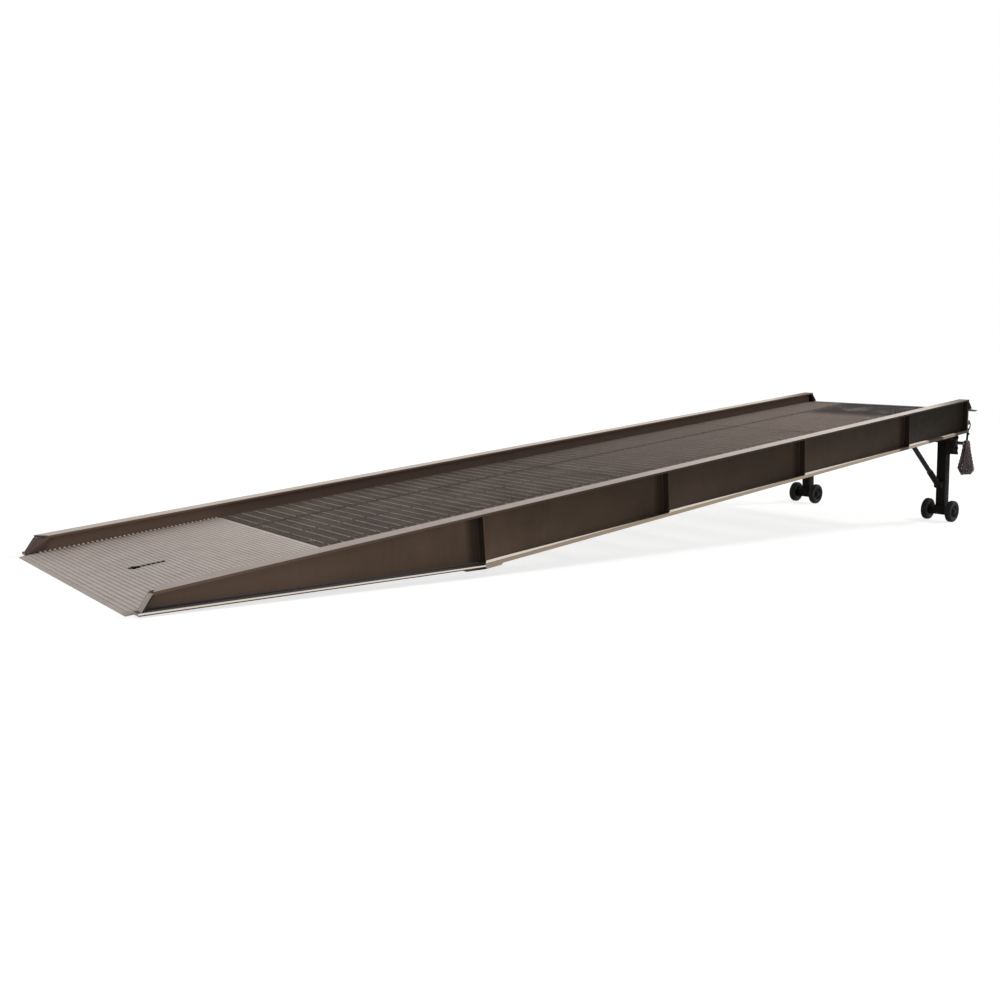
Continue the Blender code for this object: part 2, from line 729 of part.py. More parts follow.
def build_brackets(ramp):
    """Brackets under the girders that hold the pivot pins, with the stops for the legs."""
    pivot = (PIVOT_X, 0.0, PIVOT_Z)
    inner = LEG_OFFSET + LEG_WIDTH / 2 + BRACKET_GAP
    outer = inner + BRACKET_WIDTH
    leg_inside = LEG_OFFSET - LEG_WIDTH / 2
    top = -GIRDER_DEPTH - WELD_GAP - PIVOT_Z
    low = -GIRDER_DEPTH - BRACKET_DEPTH - PIVOT_Z
    stop_face = -LEG_WIDTH / 2 - WELD_GAP
    for side, sign in SIDES:
        name = f"pivot_bracket_{side}"
        half = BRACKET_LENGTH / 2
        mesh = block(name, (-half, half), span(sign, inner, outer), (low, top))
        bracket = ramp.place(name, mesh, ramp.leg, pivot)
        stop_span = span(sign, outer - BRACKET_WIDTH - STOP_INSET, outer - WELD_GAP)
        stop_x = (stop_face - STOP_LENGTH, stop_face)
        stop = block("stop", stop_x, stop_span, (top - STOP_DEPTH, top))
        ramp.combine(bracket, stop, "UNION")
        bore = bore_radius(PIVOT_PIN_RADIUS)
        cut = rod("bore", bore, "Y", *span(sign, inner - BRACKET_GAP / 2, outer + BRACKET_GAP))
        ramp.combine(bracket, cut, "DIFFERENCE")
        profile = [
            (PIVOT_PIN_RADIUS, sign * (leg_inside + SIDE_PLAY)),
            (PIVOT_PIN_RADIUS, sign * (outer + WELD_GAP)),
            (PIVOT_HEAD_RADIUS, sign * (outer + WELD_GAP)),
            (PIVOT_HEAD_RADIUS, sign * (outer + PIVOT_HEAD_THICK)),
            (PIVOT_PIN_RADIUS, sign * (outer + PIVOT_HEAD_THICK)),
            (PIVOT_PIN_RADIUS, sign * (outer + PIVOT_PIN_PROUD)),
        ]
        pin = turned(f"pivot_pin_{side}", profile, "Y", through=False)
        ramp.place(f"pivot_pin_{side}", pin, ramp.bright, pivot, smooth=True)
        bolt_span = span(sign, outer - BOLT_PROUD, outer + BOLT_PROUD)
        for step in BOLT_STEPS:
            head = rod("bolt", BOLT_RADIUS, "Y", *bolt_span, sides=BOLT_SIDES)
            ramp.combine(bracket, shift(head, z=step * BOLT_PITCH), "UNION")


def ear_spans(sign):
    """Y spans of the two ears beside a ram's eye."""
    near = RAM_EYE_WIDTH / 2 + SIDE_PLAY
    far = near + RAM_EAR_THICK
    return (
        span(sign, LEG_OFFSET - far, LEG_OFFSET - near),
        span(sign, LEG_OFFSET + near, LEG_OFFSET + far),
    )


def ram_pin(sign):
    """Pin through both ears of a ram's joint, about its own axis."""
    reach = RAM_EYE_WIDTH / 2 + SIDE_PLAY + RAM_EAR_THICK + RAM_PIN_PROUD
    return rod("ram_pin", RAM_PIN_RADIUS, "Y", *span(sign, LEG_OFFSET - reach, LEG_OFFSET + reach))


def build_legs(ramp):
    """Square tube legs on the pivot pins, with foot plates and the ears for the rams."""
    pivot = (PIVOT_X, 0.0, PIVOT_Z)
    half = LEG_WIDTH / 2
    foot_top = -AXLE_DROP + HOUSING_HEIGHT / 2 + WELD_GAP + FOOT_PLATE_THICK
    housing_back = -AXLE_SETBACK - HOUSING_LENGTH / 2
    for side, sign in SIDES:
        name = f"leg_{side}"
        y_span = span(sign, LEG_OFFSET - half, LEG_OFFSET + half)
        mesh = block(name, (-half, half), y_span, (foot_top, LEG_ABOVE_PIVOT))
        leg = ramp.place(name, mesh, ramp.leg, pivot)
        hollow_span = span(sign, LEG_OFFSET - half + LEG_WALL, LEG_OFFSET + half - LEG_WALL)
        hollow_x = (-half + LEG_WALL, half - LEG_WALL)
        hollow_z = (foot_top - LEG_WALL, LEG_ABOVE_PIVOT + LEG_WALL)
        hollow = block("hollow", hollow_x, hollow_span, hollow_z)
        ramp.combine(leg, hollow, "DIFFERENCE")
        foot_z = (foot_top - FOOT_PLATE_THICK, foot_top)
        foot = block("foot", (housing_back, half), y_span, foot_z)
        ramp.combine(leg, foot, "UNION")
        eye = (RAM_FOOT_X - PIVOT_X, -RAM_FOOT_DROP)
        root_x = -half + LEG_WALL / 2
        low = (root_x, eye[1] - RAM_EAR_SPREAD)
        high = (root_x, eye[1] + RAM_EAR_SPREAD)
        outline = [low, high] + arc(eye[0], eye[1], RAM_EAR_RADIUS, *LEG_EAR_ARC)
        for ear_span in ear_spans(sign):
            ramp.combine(leg, prism("ear", outline, "Y", *ear_span), "UNION")
        ramp.combine(leg, shift(ram_pin(sign), x=eye[0], z=eye[1]), "UNION")
        bore_span = span(sign, LEG_OFFSET - LEG_WIDTH, LEG_OFFSET + LEG_WIDTH)
        bore = rod("bore", bore_radius(PIVOT_PIN_RADIUS), "Y", *bore_span)
        ramp.combine(leg, bore, "DIFFERENCE")
    reach = LEG_OFFSET - half - WELD_GAP
    size = CROSS_TUBE_SIZE / 2
    low = CROSS_TUBE_RISE - size
    high = CROSS_TUBE_RISE + size
    mesh = block("cross_tube", (-size, size), (-reach, reach), (low, high))
    cross_tube = ramp.place("cross_tube", mesh, ramp.leg, pivot)
    wall = CROSS_TUBE_WALL
    inside_x = (-size + wall, size - wall)
    inside_y = (-reach - wall, reach + wall)
    inside = block("inside", inside_x, inside_y, (low + wall, high - wall))
    ramp.combine(cross_tube, inside, "DIFFERENCE")


def build_axles(ramp):
    """Axle housings under the legs, with their axles and two wheels each."""
    pivot = (PIVOT_X, 0.0, PIVOT_Z)
    half_wheel = WHEEL_WIDTH / 2
    reach = WHEEL_OFFSET - half_wheel - SIDE_PLAY
    for side, sign in SIDES:
        name = f"axle_housing_{side}"
        x_span = (-AXLE_SETBACK - HOUSING_LENGTH / 2, -AXLE_SETBACK + HOUSING_LENGTH / 2)
        z_span = (-AXLE_DROP - HOUSING_HEIGHT / 2, -AXLE_DROP + HOUSING_HEIGHT / 2)
        y_span = span(sign, LEG_OFFSET - reach, LEG_OFFSET + reach)
        housing = ramp.place(name, block(name, x_span, y_span, z_span), ramp.leg, pivot)
        bore_span = span(sign, LEG_OFFSET - WHEEL_OFFSET, LEG_OFFSET + WHEEL_OFFSET)
        bore = rod("bore", AXLE_RADIUS + WELD_GAP, "Y", *bore_span)
        ramp.combine(housing, shift(bore, x=-AXLE_SETBACK, z=-AXLE_DROP), "DIFFERENCE")
        end = WHEEL_OFFSET + half_wheel + SIDE_PLAY
        nut = end + AXLE_NUT_THICK
        profile = [
            (AXLE_NUT_RADIUS, -nut),
            (AXLE_NUT_RADIUS, -end),
            (AXLE_RADIUS, -end),
            (AXLE_RADIUS, end),
            (AXLE_NUT_RADIUS, end),
            (AXLE_NUT_RADIUS, nut),
        ]
        axle = turned(f"axle_{side}", profile, "Y", through=False)
        axle_spot = (AXLE_X, sign * LEG_OFFSET, AXLE_Z)
        ramp.place(f"axle_{side}", axle, ramp.bright, axle_spot, smooth=True)
        for spot, offset in (("inner", -WHEEL_OFFSET), ("outer", WHEEL_OFFSET)):
            centre = (AXLE_X, sign * (LEG_OFFSET + offset), AXLE_Z)
            build_wheel(ramp, f"{side}_{spot}", centre)


def build_wheel(ramp, label, centre):
    """A cast hub and a solid tyre about the wheel's own axis."""
    half = WHEEL_WIDTH / 2
    disc = HUB_DISC_THICK / 2
    bore = bore_radius(AXLE_RADIUS, WHEEL_SIDES)
    rim_inner = RIM_RADIUS - RIM_THICK
    hub = [
        (bore, -half),
        (HUB_RADIUS, -half),
        (HUB_RADIUS, -disc),
        (rim_inner, -disc),
        (rim_inner, -half),
        (RIM_RADIUS, -half),
        (RIM_RADIUS, half),
        (rim_inner, half),
        (rim_inner, disc),
        (HUB_RADIUS, disc),
        (HUB_RADIUS, half),
        (bore, half),
    ]
    seat = RIM_RADIUS + WELD_GAP
    tyre = [
        (seat, -half),
        (WHEEL_RADIUS - TYRE_CROWN, -half),
        (WHEEL_RADIUS, -half + TYRE_CROWN),
        (WHEEL_RADIUS, half - TYRE_CROWN),
        (WHEEL_RADIUS - TYRE_CROWN, half),
        (seat, half),
    ]
    hub_mesh = turned(f"hub_{label}", hub, "Y", WHEEL_SIDES)
    ramp.place(f"hub_{label}", hub_mesh, ramp.iron, centre, smooth=True)
    tyre_mesh = turned(f"tyre_{label}", tyre, "Y", WHEEL_SIDES)
    ramp.place(f"tyre_{label}", tyre_mesh, ramp.rubber, centre, smooth=True)


def build_ram_beam(ramp):
    """Cross beam under the deck that the rams push against."""
    top = GRATING_UNDER - WELD_GAP - RAM_TOP_Z
    low = top - RAM_BEAM_DEPTH
    half = DECK_HALF - WELD_GAP
    mesh = channel("ram_beam", 0.0, top, RAM_BEAM_DEPTH, RAM_BEAM_WIDTH, RAM_BEAM_WALL, half)
    beam = ramp.place("ram_beam", mesh, ramp.steel, (RAM_TOP_X, 0.0, RAM_TOP_Z))
    spread = RAM_BEAM_WIDTH / 2 - RAM_BEAM_WALL
    root = low + RAM_BEAM_WALL / 2
    outline = [(spread, root), (-spread, root)] + arc(0.0, 0.0, RAM_EAR_RADIUS, *BEAM_EAR_ARC)
    for side, sign in SIDES:
        for ear_span in ear_spans(sign):
            ramp.combine(beam, prism(f"ear_{side}", outline, "Y", *ear_span), "UNION")
        ramp.combine(beam, ram_pin(sign), "UNION")


def build_rams(ramp):
    """Hydraulic rams from the legs up to the cross beam; local X runs up the ram."""
    angle = math.atan2(RAM_TOP_Z - RAM_FOOT_Z, RAM_TOP_X - RAM_FOOT_X)
    half = RAM_EYE_WIDTH / 2
    for side, sign in SIDES:
        foot = (RAM_FOOT_X, sign * LEG_OFFSET, RAM_FOOT_Z)
        head = (RAM_TOP_X, sign * LEG_OFFSET, RAM_TOP_Z)
        name = f"ram_barrel_{side}"
        profile = [
            (BARREL_NECK_RADIUS, BARREL_EYE_RADIUS - RAM_PIN_RADIUS),
            (BARREL_NECK_RADIUS, BARREL_SHOULDER),
            (BARREL_RADIUS, BARREL_SHOULDER),
            (BARREL_RADIUS, BARREL_LENGTH),
        ]
        mesh = turned(name, profile, "X", through=False)
        barrel = ramp.place(name, mesh, ramp.leg, foot, smooth=True)
        barrel.rotation_euler = (0.0, -angle, 0.0)
        ramp.combine(barrel, rod("eye", BARREL_EYE_RADIUS, "Y", -half, half), "UNION")
        mouth = BARREL_LENGTH + BARREL_RADIUS
        bore = rod("bore", bore_radius(ROD_RADIUS), "X", BARREL_FLOOR, mouth)
        ramp.combine(barrel, bore, "DIFFERENCE")
        pin_bore = rod("pin_bore", bore_radius(RAM_PIN_RADIUS), "Y", -2 * half, 2 * half)
        ramp.combine(barrel, pin_bore, "DIFFERENCE")
        name = f"ram_rod_{side}"
        reach = RAM_LENGTH - BARREL_LENGTH + ROD_ENGAGED
        mesh = rod(name, ROD_RADIUS, "X", -reach, -ROD_EYE_RADIUS + RAM_PIN_RADIUS / 2)
        ram_rod = ramp.place(name, mesh, ramp.bright, head, smooth=True)
        ram_rod.rotation_euler = (0.0, -angle, 0.0)
        ramp.combine(ram_rod, rod("eye", ROD_EYE_RADIUS, "Y", -half, half), "UNION")
        play = (RAM_PIN_RADIUS + RAM_EYE_PLAY) / math.cos(math.pi / ROUND_SIDES)
        ramp.combine(ram_rod, rod("pin_bore", play, "Y", -2 * half, 2 * half), "DIFFERENCE")


def build_pump(ramp):
    """Hand pump on the left web: body, oil tank, lever, plunger and release knob."""
    inner = WEB_OUTER + WELD_GAP
    face = inner + PUMP_PLATE_THICK
    axis_y = WEB_OUTER + PUMP_STANDOFF
    bore_x = PUMP_X - PUMP_PLATE_LENGTH / 2 + PUMP_FROM_END
    low = -PUMP_CENTRE_DEPTH - PUMP_PLATE_HEIGHT / 2
    high = low + PUMP_PLATE_HEIGHT
    top = low + WELD_GAP + PUMP_HEIGHT
    plate_x = (PUMP_X - PUMP_PLATE_LENGTH / 2, PUMP_X + PUMP_PLATE_LENGTH / 2)
    body = ramp.place("pump_body", block("pump_body", plate_x, (inner, face), (low, high)), ramp.pump)
    block_x = (bore_x - PUMP_BLOCK_LENGTH / 2, bore_x + PUMP_BLOCK_LENGTH / 2)
    stub = block("stub", block_x, (face - PUMP_PLATE_THICK / 2, axis_y), (low, top - PUMP_RADIUS / 2))
    ramp.combine(body, stub, "UNION")
    cylinder = shift(rod("cylinder", PUMP_RADIUS, "Z", low, top), x=bore_x, y=axis_y)
    ramp.combine(body, cylinder, "UNION")
    pivot_x = bore_x - PLUNGER_FROM_PIVOT
    pivot_z = -LEVER_PIVOT_DEPTH
    boss_near = axis_y - LEVER_BOSS_WIDTH / 2
    post_far = boss_near - SIDE_PLAY
    post_x = (pivot_x - LEVER_POST_WIDTH / 2, pivot_x + LEVER_POST_WIDTH / 2)
    post_y = (post_far - LEVER_POST_THICK, post_far)
    post = block("post", post_x, post_y, (low, pivot_z + LEVER_POST_WIDTH / 2))
    ramp.combine(body, post, "UNION")
    arm_y = (face - PUMP_PLATE_THICK / 2, post_far)
    arm = block("arm", post_x, arm_y, (low, top - PUMP_RADIUS))
    ramp.combine(body, arm, "UNION")
    pin_far = axis_y + LEVER_BOSS_WIDTH / 2
    pin = rod("pin", LEVER_PIN_RADIUS, "Y", post_far - LEVER_POST_THICK / 2, pin_far)
    ramp.combine(body, shift(pin, x=pivot_x, z=pivot_z), "UNION")
    bore = rod("bore", PLUNGER_RADIUS + PLUNGER_PLAY, "Z", top - PUMP_BORE_DEPTH, top + PUMP_RADIUS)
    ramp.combine(body, shift(bore, x=bore_x, y=axis_y), "DIFFERENCE")

    lever_origin = (pivot_x, axis_y, pivot_z)
    half = LEVER_BOSS_WIDTH / 2
    lever_bore = bore_radius(LEVER_PIN_RADIUS)
    boss = ring_bar("pump_lever", LEVER_BOSS_RADIUS, lever_bore, "Y", -half, half)
    lever = ramp.place("pump_lever", boss, ramp.bright, lever_origin, smooth=True)
    bar = rod("bar", LEVER_RADIUS, "X", LEVER_BOSS_RADIUS - LEVER_PIN_RADIUS / 2, LEVER_LENGTH)
    ramp.combine(lever, tilt_mesh(bar, LEVER_REST_ANGLE), "UNION")

    under = PLUNGER_FROM_PIVOT * math.tan(LEVER_REST_ANGLE)
    under += LEVER_RADIUS / math.cos(LEVER_REST_ANGLE)
    plunger_top = pivot_z - under - PLUNGER_TOP_GAP
    profile = [
        (PLUNGER_RADIUS, top - PLUNGER_IN_BORE - plunger_top),
        (PLUNGER_RADIUS, -PLUNGER_RADIUS),
        (PLUNGER_TIP_RADIUS, 0.0),
    ]
    plunger = turned("pump_plunger", profile, "Z", through=False)
    ramp.place("pump_plunger", plunger, ramp.bright, (bore_x, axis_y, plunger_top), smooth=True)

    tank_x = (bore_x + TANK_FROM_BORE, bore_x + TANK_FROM_BORE + TANK_LENGTH)
    tank_y = (face + WELD_GAP, face + TANK_THICK)
    mesh = block("oil_tank", tank_x, tank_y, (low, low + TANK_HEIGHT))
    tank = ramp.place("oil_tank", mesh, ramp.pump)
    rounding = tank.modifiers.new("rounding", "BEVEL")
    rounding.width = TANK_ROUND
    rounding.segments = 2
    cap_spot = (tank_x[0] + CAP_FROM_END, (tank_y[0] + tank_y[1]) / 2, low + TANK_HEIGHT)
    cap = shift(rod("cap", CAP_RADIUS, "Z", -CAP_HEIGHT, CAP_HEIGHT, sides=CAP_SIDES), *cap_spot)
    ramp.combine(tank, cap, "UNION")

    knob_spot = (tank_x[1] - KNOB_FROM_END, tank_y[1] + WELD_GAP, low + KNOB_RISE)
    stem = KNOB_STEM_LENGTH
    profile = [
        (KNOB_STEM_RADIUS, 0.0),
        (KNOB_STEM_RADIUS, stem),
        (KNOB_RADIUS, stem),
        (KNOB_RADIUS, KNOB_THICK),
    ]
    mesh = turned("release_knob", profile, "Y", through=False)
    knob = ramp.place("release_knob", mesh, ramp.iron, knob_spot, smooth=True)
    size = KNOB_HANDLE_SIZE / 2
    handle = block("handle", (0.0, KNOB_HANDLE_LENGTH), (KNOB_THICK - 2 * size, KNOB_THICK), (-size, size))
    ramp.combine(knob, handle, "UNION")


def ring_path():
    """Centre line of the hanging D-ring: a straight bar in the eye and a round bow below."""
    half = RING_WIDTH / 2 - RING_WIRE / 2
    bow = -(RING_HEIGHT - RING_WIRE - half)
    straight = half - RING_CORNER
    points = []
    for index in range(CORNER_STEPS + 1):
        angle = math.pi / 2 * index / CORNER_STEPS
        down = RING_CORNER * (math.cos(angle) - 1)
        points.append((straight + RING_CORNER * math.sin(angle), down))
    for index in range(BOW_STEPS + 1):
        angle = math.pi * index / BOW_STEPS
        points.append((half * math.cos(angle), bow - half * math.sin(angle)))
    for index in range(CORNER_STEPS + 1):
        angle = math.pi / 2 * index / CORNER_STEPS
        down = RING_CORNER * (math.sin(angle) - 1)
        points.append((-straight - RING_CORNER * math.cos(angle), down))
    return [Vector((0.0, across, down)) for across, down in points]


def chain_path():
    """Centre line of the hank: a neck, then teardrop loops side by side."""
    spread = CHAIN_LOOPS * CHAIN_LOOP_STEP
    points = []
    for index in range(NECK_STEPS + 1):
        points.append(Vector((0.0, 0.0, -CHAIN_NECK * index / NECK_STEPS)))
    gather = -CHAIN_NECK - CHAIN_GATHER
    points.append(Vector((-spread / 4, 0.0, -CHAIN_NECK - CHAIN_GATHER / 4)))
    widest = math.sin(math.radians(120)) * (1 - math.cos(math.radians(120))) / 2
    total = CHAIN_LOOPS * CHAIN_LOOP_POINTS
    for index in range(total + 1):
        turn = index / CHAIN_LOOP_POINTS
        angle = 2 * math.pi * turn
        wave = math.cos(4 * math.pi * turn / CHAIN_LOOPS)
        length = CHAIN_LOOP_LENGTH - CHAIN_LENGTH_VARIATION * (1 + wave) / 2
        width = CHAIN_LOOP_WIDTH / 2 - CHAIN_WIDTH_VARIATION * (1 - wave) / 2
        down = (1 - math.cos(angle)) / 2
        across = width * math.sin(angle) * down / widest
        along = -spread / 2 + turn * CHAIN_LOOP_STEP
        points.append(Vector((along, across, gather - length * down)))
    return points


def least_gap(points, thick):
    """Least distance between parts of a tube that aren't neighbours along it."""
    least = math.inf
    for first in range(len(points) - 1):
        travelled = 0.0
        for second in range(first + 1, len(points) - 1):
            travelled += (points[second] - points[second - 1]).length
            if travelled < 4 * thick:
                continue
            start = points[second]
            along = points[second + 1] - start
            for spot in (points[first], (points[first] + points[first + 1]) / 2):
                share = max(0.0, min(1.0, (spot - start).dot(along) / along.length_squared))
                least = min(least, (spot - start - along * share).length)
    return least - thick


def tube(name, points, thick, cyclic, parent, material):
    """A round tube along points, as a curve with a bevel."""
    curve = bpy.data.curves.new(name, "CURVE")
    curve.dimensions = "3D"
    curve.bevel_depth = thick / 2
    curve.bevel_resolution = 1
    curve.use_fill_caps = not cyclic
    spline = curve.splines.new("POLY")
    spline.points.add(len(points) - 1)
    for spot, point in zip(spline.points, points):
        spot.co = (*point, 1.0)
    spline.use_cyclic_u = cyclic
    spline.use_smooth = True
    curve.materials.append(material)
    item = bpy.data.objects.new(name, curve)
    bpy.context.scene.collection.objects.link(item)
    item.parent = parent
    return item


def build_chains(ramp):
    """D-rings in the pad eyes and the hanks of safety chain below them."""
    eye_x = LEVEL_LENGTH + WELD_GAP + END_PLATE_THICK + PAD_EYE_REACH
    path = chain_path()
    print(f"chain: least gap to itself {1000 * least_gap(path, CHAIN_THICK):.2f} mm")
    bar_z = -(PAD_EYE_HOLE - RING_WIRE / 2) + WELD_GAP
    bow_z = bar_z - (RING_HEIGHT - RING_WIRE)
    for side, sign in SIDES:
        eye = (eye_x, sign * PAD_EYE_OFFSET, -PAD_EYE_DEPTH)
        hang = add_empty(f"hang_{side}", eye, ramp.frame, tilt=SLOPE)
        ring = tube(f"chain_ring_{side}", ring_path(), RING_WIRE, True, hang, ramp.chain)
        ring.location = (0.0, 0.0, bar_z)
        below = RING_WIRE / 2 * math.cos(math.pi / TUBE_SIDES) + WELD_GAP
        points = [point + Vector((0.0, 0.0, bow_z - bar_z - below)) for point in path]
        chain = tube(f"safety_chain_{side}", points, CHAIN_THICK, False, hang, ramp.chain)
        chain.location = (0.0, 0.0, bar_z)


def main():
    """Build the whole ramp."""
    clear_scene()
    ramp = Ramp()
    for side, sign in SIDES:
        build_girder(ramp, side, sign)
    build_wear_plates(ramp)
    build_curb_ends(ramp)
    build_approach_plate(ramp)
    build_joists(ramp)
    build_grating(ramp)
    build_dock_end(ramp)
    build_brackets(ramp)
    build_legs(ramp)
    build_axles(ramp)
    build_ram_beam(ramp)
    build_rams(ramp)
    build_pump(ramp)
    build_chains(ramp)
    bpy.context.view_layer.update()


main()
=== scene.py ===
"""Steel yard ramp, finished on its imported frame.

Pieces are built in the deck's own sloping frame: X runs up along the deck from the kink under the
girders, Y across with left positive, and Z square to the deck with 0 at the top of the curbs. Each
mesh is then laid into the world, where it rides on the body that carries it. Sizes are in metres.
"""

import logging
import math
from collections.abc import Callable, Iterator, Sequence
from contextlib import contextmanager
from dataclasses import dataclass, field
from enum import Enum
from functools import reduce

import bmesh
import bpy
from bpy.types import Material, Node, NodeSocket, Object
from mathutils import Euler, Matrix, Vector


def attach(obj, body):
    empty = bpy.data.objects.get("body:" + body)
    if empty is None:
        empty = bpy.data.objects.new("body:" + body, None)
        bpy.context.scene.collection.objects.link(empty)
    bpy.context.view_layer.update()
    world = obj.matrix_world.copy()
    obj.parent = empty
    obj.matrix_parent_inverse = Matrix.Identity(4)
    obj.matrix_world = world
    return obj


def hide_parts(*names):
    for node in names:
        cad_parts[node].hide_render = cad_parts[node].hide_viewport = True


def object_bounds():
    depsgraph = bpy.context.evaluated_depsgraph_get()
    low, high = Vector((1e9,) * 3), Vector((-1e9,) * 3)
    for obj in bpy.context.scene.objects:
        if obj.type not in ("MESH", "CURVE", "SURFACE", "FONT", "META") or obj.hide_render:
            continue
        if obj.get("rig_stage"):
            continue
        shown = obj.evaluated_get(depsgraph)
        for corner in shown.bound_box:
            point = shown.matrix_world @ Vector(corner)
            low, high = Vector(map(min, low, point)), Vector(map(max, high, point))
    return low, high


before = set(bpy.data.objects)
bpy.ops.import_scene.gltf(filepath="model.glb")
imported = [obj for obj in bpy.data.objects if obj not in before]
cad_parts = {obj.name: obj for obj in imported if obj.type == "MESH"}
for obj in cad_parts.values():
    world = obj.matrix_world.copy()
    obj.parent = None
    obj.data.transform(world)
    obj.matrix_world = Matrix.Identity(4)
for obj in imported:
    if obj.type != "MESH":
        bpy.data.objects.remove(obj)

log = logging.getLogger("yard_ramp")
Triple = tuple[float, float, float]


def chip(red: int, green: int, blue: int) -> Triple:
    """Linear colour of a paint chip.

    Args:
        red: Screen value of red, 0 to 255.
        green: Screen value of green.
        blue: Screen value of blue.

    Returns:
        The same colour in linear light.
    """
    def linear(value: int) -> float:
        """One channel in linear light."""
        share = value / 255
        return share / 12.92 if share <= 0.04045 else ((share + 0.055) / 1.055) ** 2.4

    return (linear(red), linear(green), linear(blue))


class Side(Enum):
    """The two sides of the ramp, with the sign of Y on each."""

    LEFT = 1
    RIGHT = -1

    @property
    def label(self) -> str:
        """The side's word in piece names."""
        return self.name.lower()


class Pick(Enum):
    """What a choice in edit mode takes hold of."""

    POINTS = "VERT"
    EDGES = "EDGE"
    FACES = "FACE"


@dataclass(frozen=True)
class Deck:
    """The sloping frame of the deck, and the sizes that several assemblies share."""

    slope: float = 0.1334725
    origin: Triple = (-2.3261943, 0.0, 0.4193282)
    half_width: float = 0.929
    web_outer: float = 0.939
    flange_outer: float = 0.996
    flange_thick: float = 0.016
    girder_depth: float = 0.355
    foot_extra: float = 0.012
    bay: float = 1.8288
    nose: float = -2.261
    nose_depth: float = 0.110
    level_length: float = 6.734
    top: float = -0.105
    leg_offset: float = 0.8277
    pivot: tuple[float, float] = (6.565, -0.442)
    axle: tuple[float, float] = (6.520, -1.182)

    @property
    def to_world(self) -> Matrix:
        """Matrix from the deck's frame to the world."""
        return Matrix.Translation(self.origin) @ Matrix.Rotation(-self.slope, 4, "Y")

    @property
    def foot_rise(self) -> float:
        """How steeply the girders' underside rises from the kink to the nose."""
        return (self.girder_depth - self.nose_depth) / -self.nose

    def low_edge(self, x: float) -> float:
        """Height of the girders' underside at a place along the deck."""
        return -self.girder_depth + max(0.0, -x) * self.foot_rise

    def turned(self, *move: float) -> Vector:
        """A way or shift in the deck's frame, as it lies in the world."""
        return self.to_world.to_3x3() @ Vector(move)


DECK = Deck()


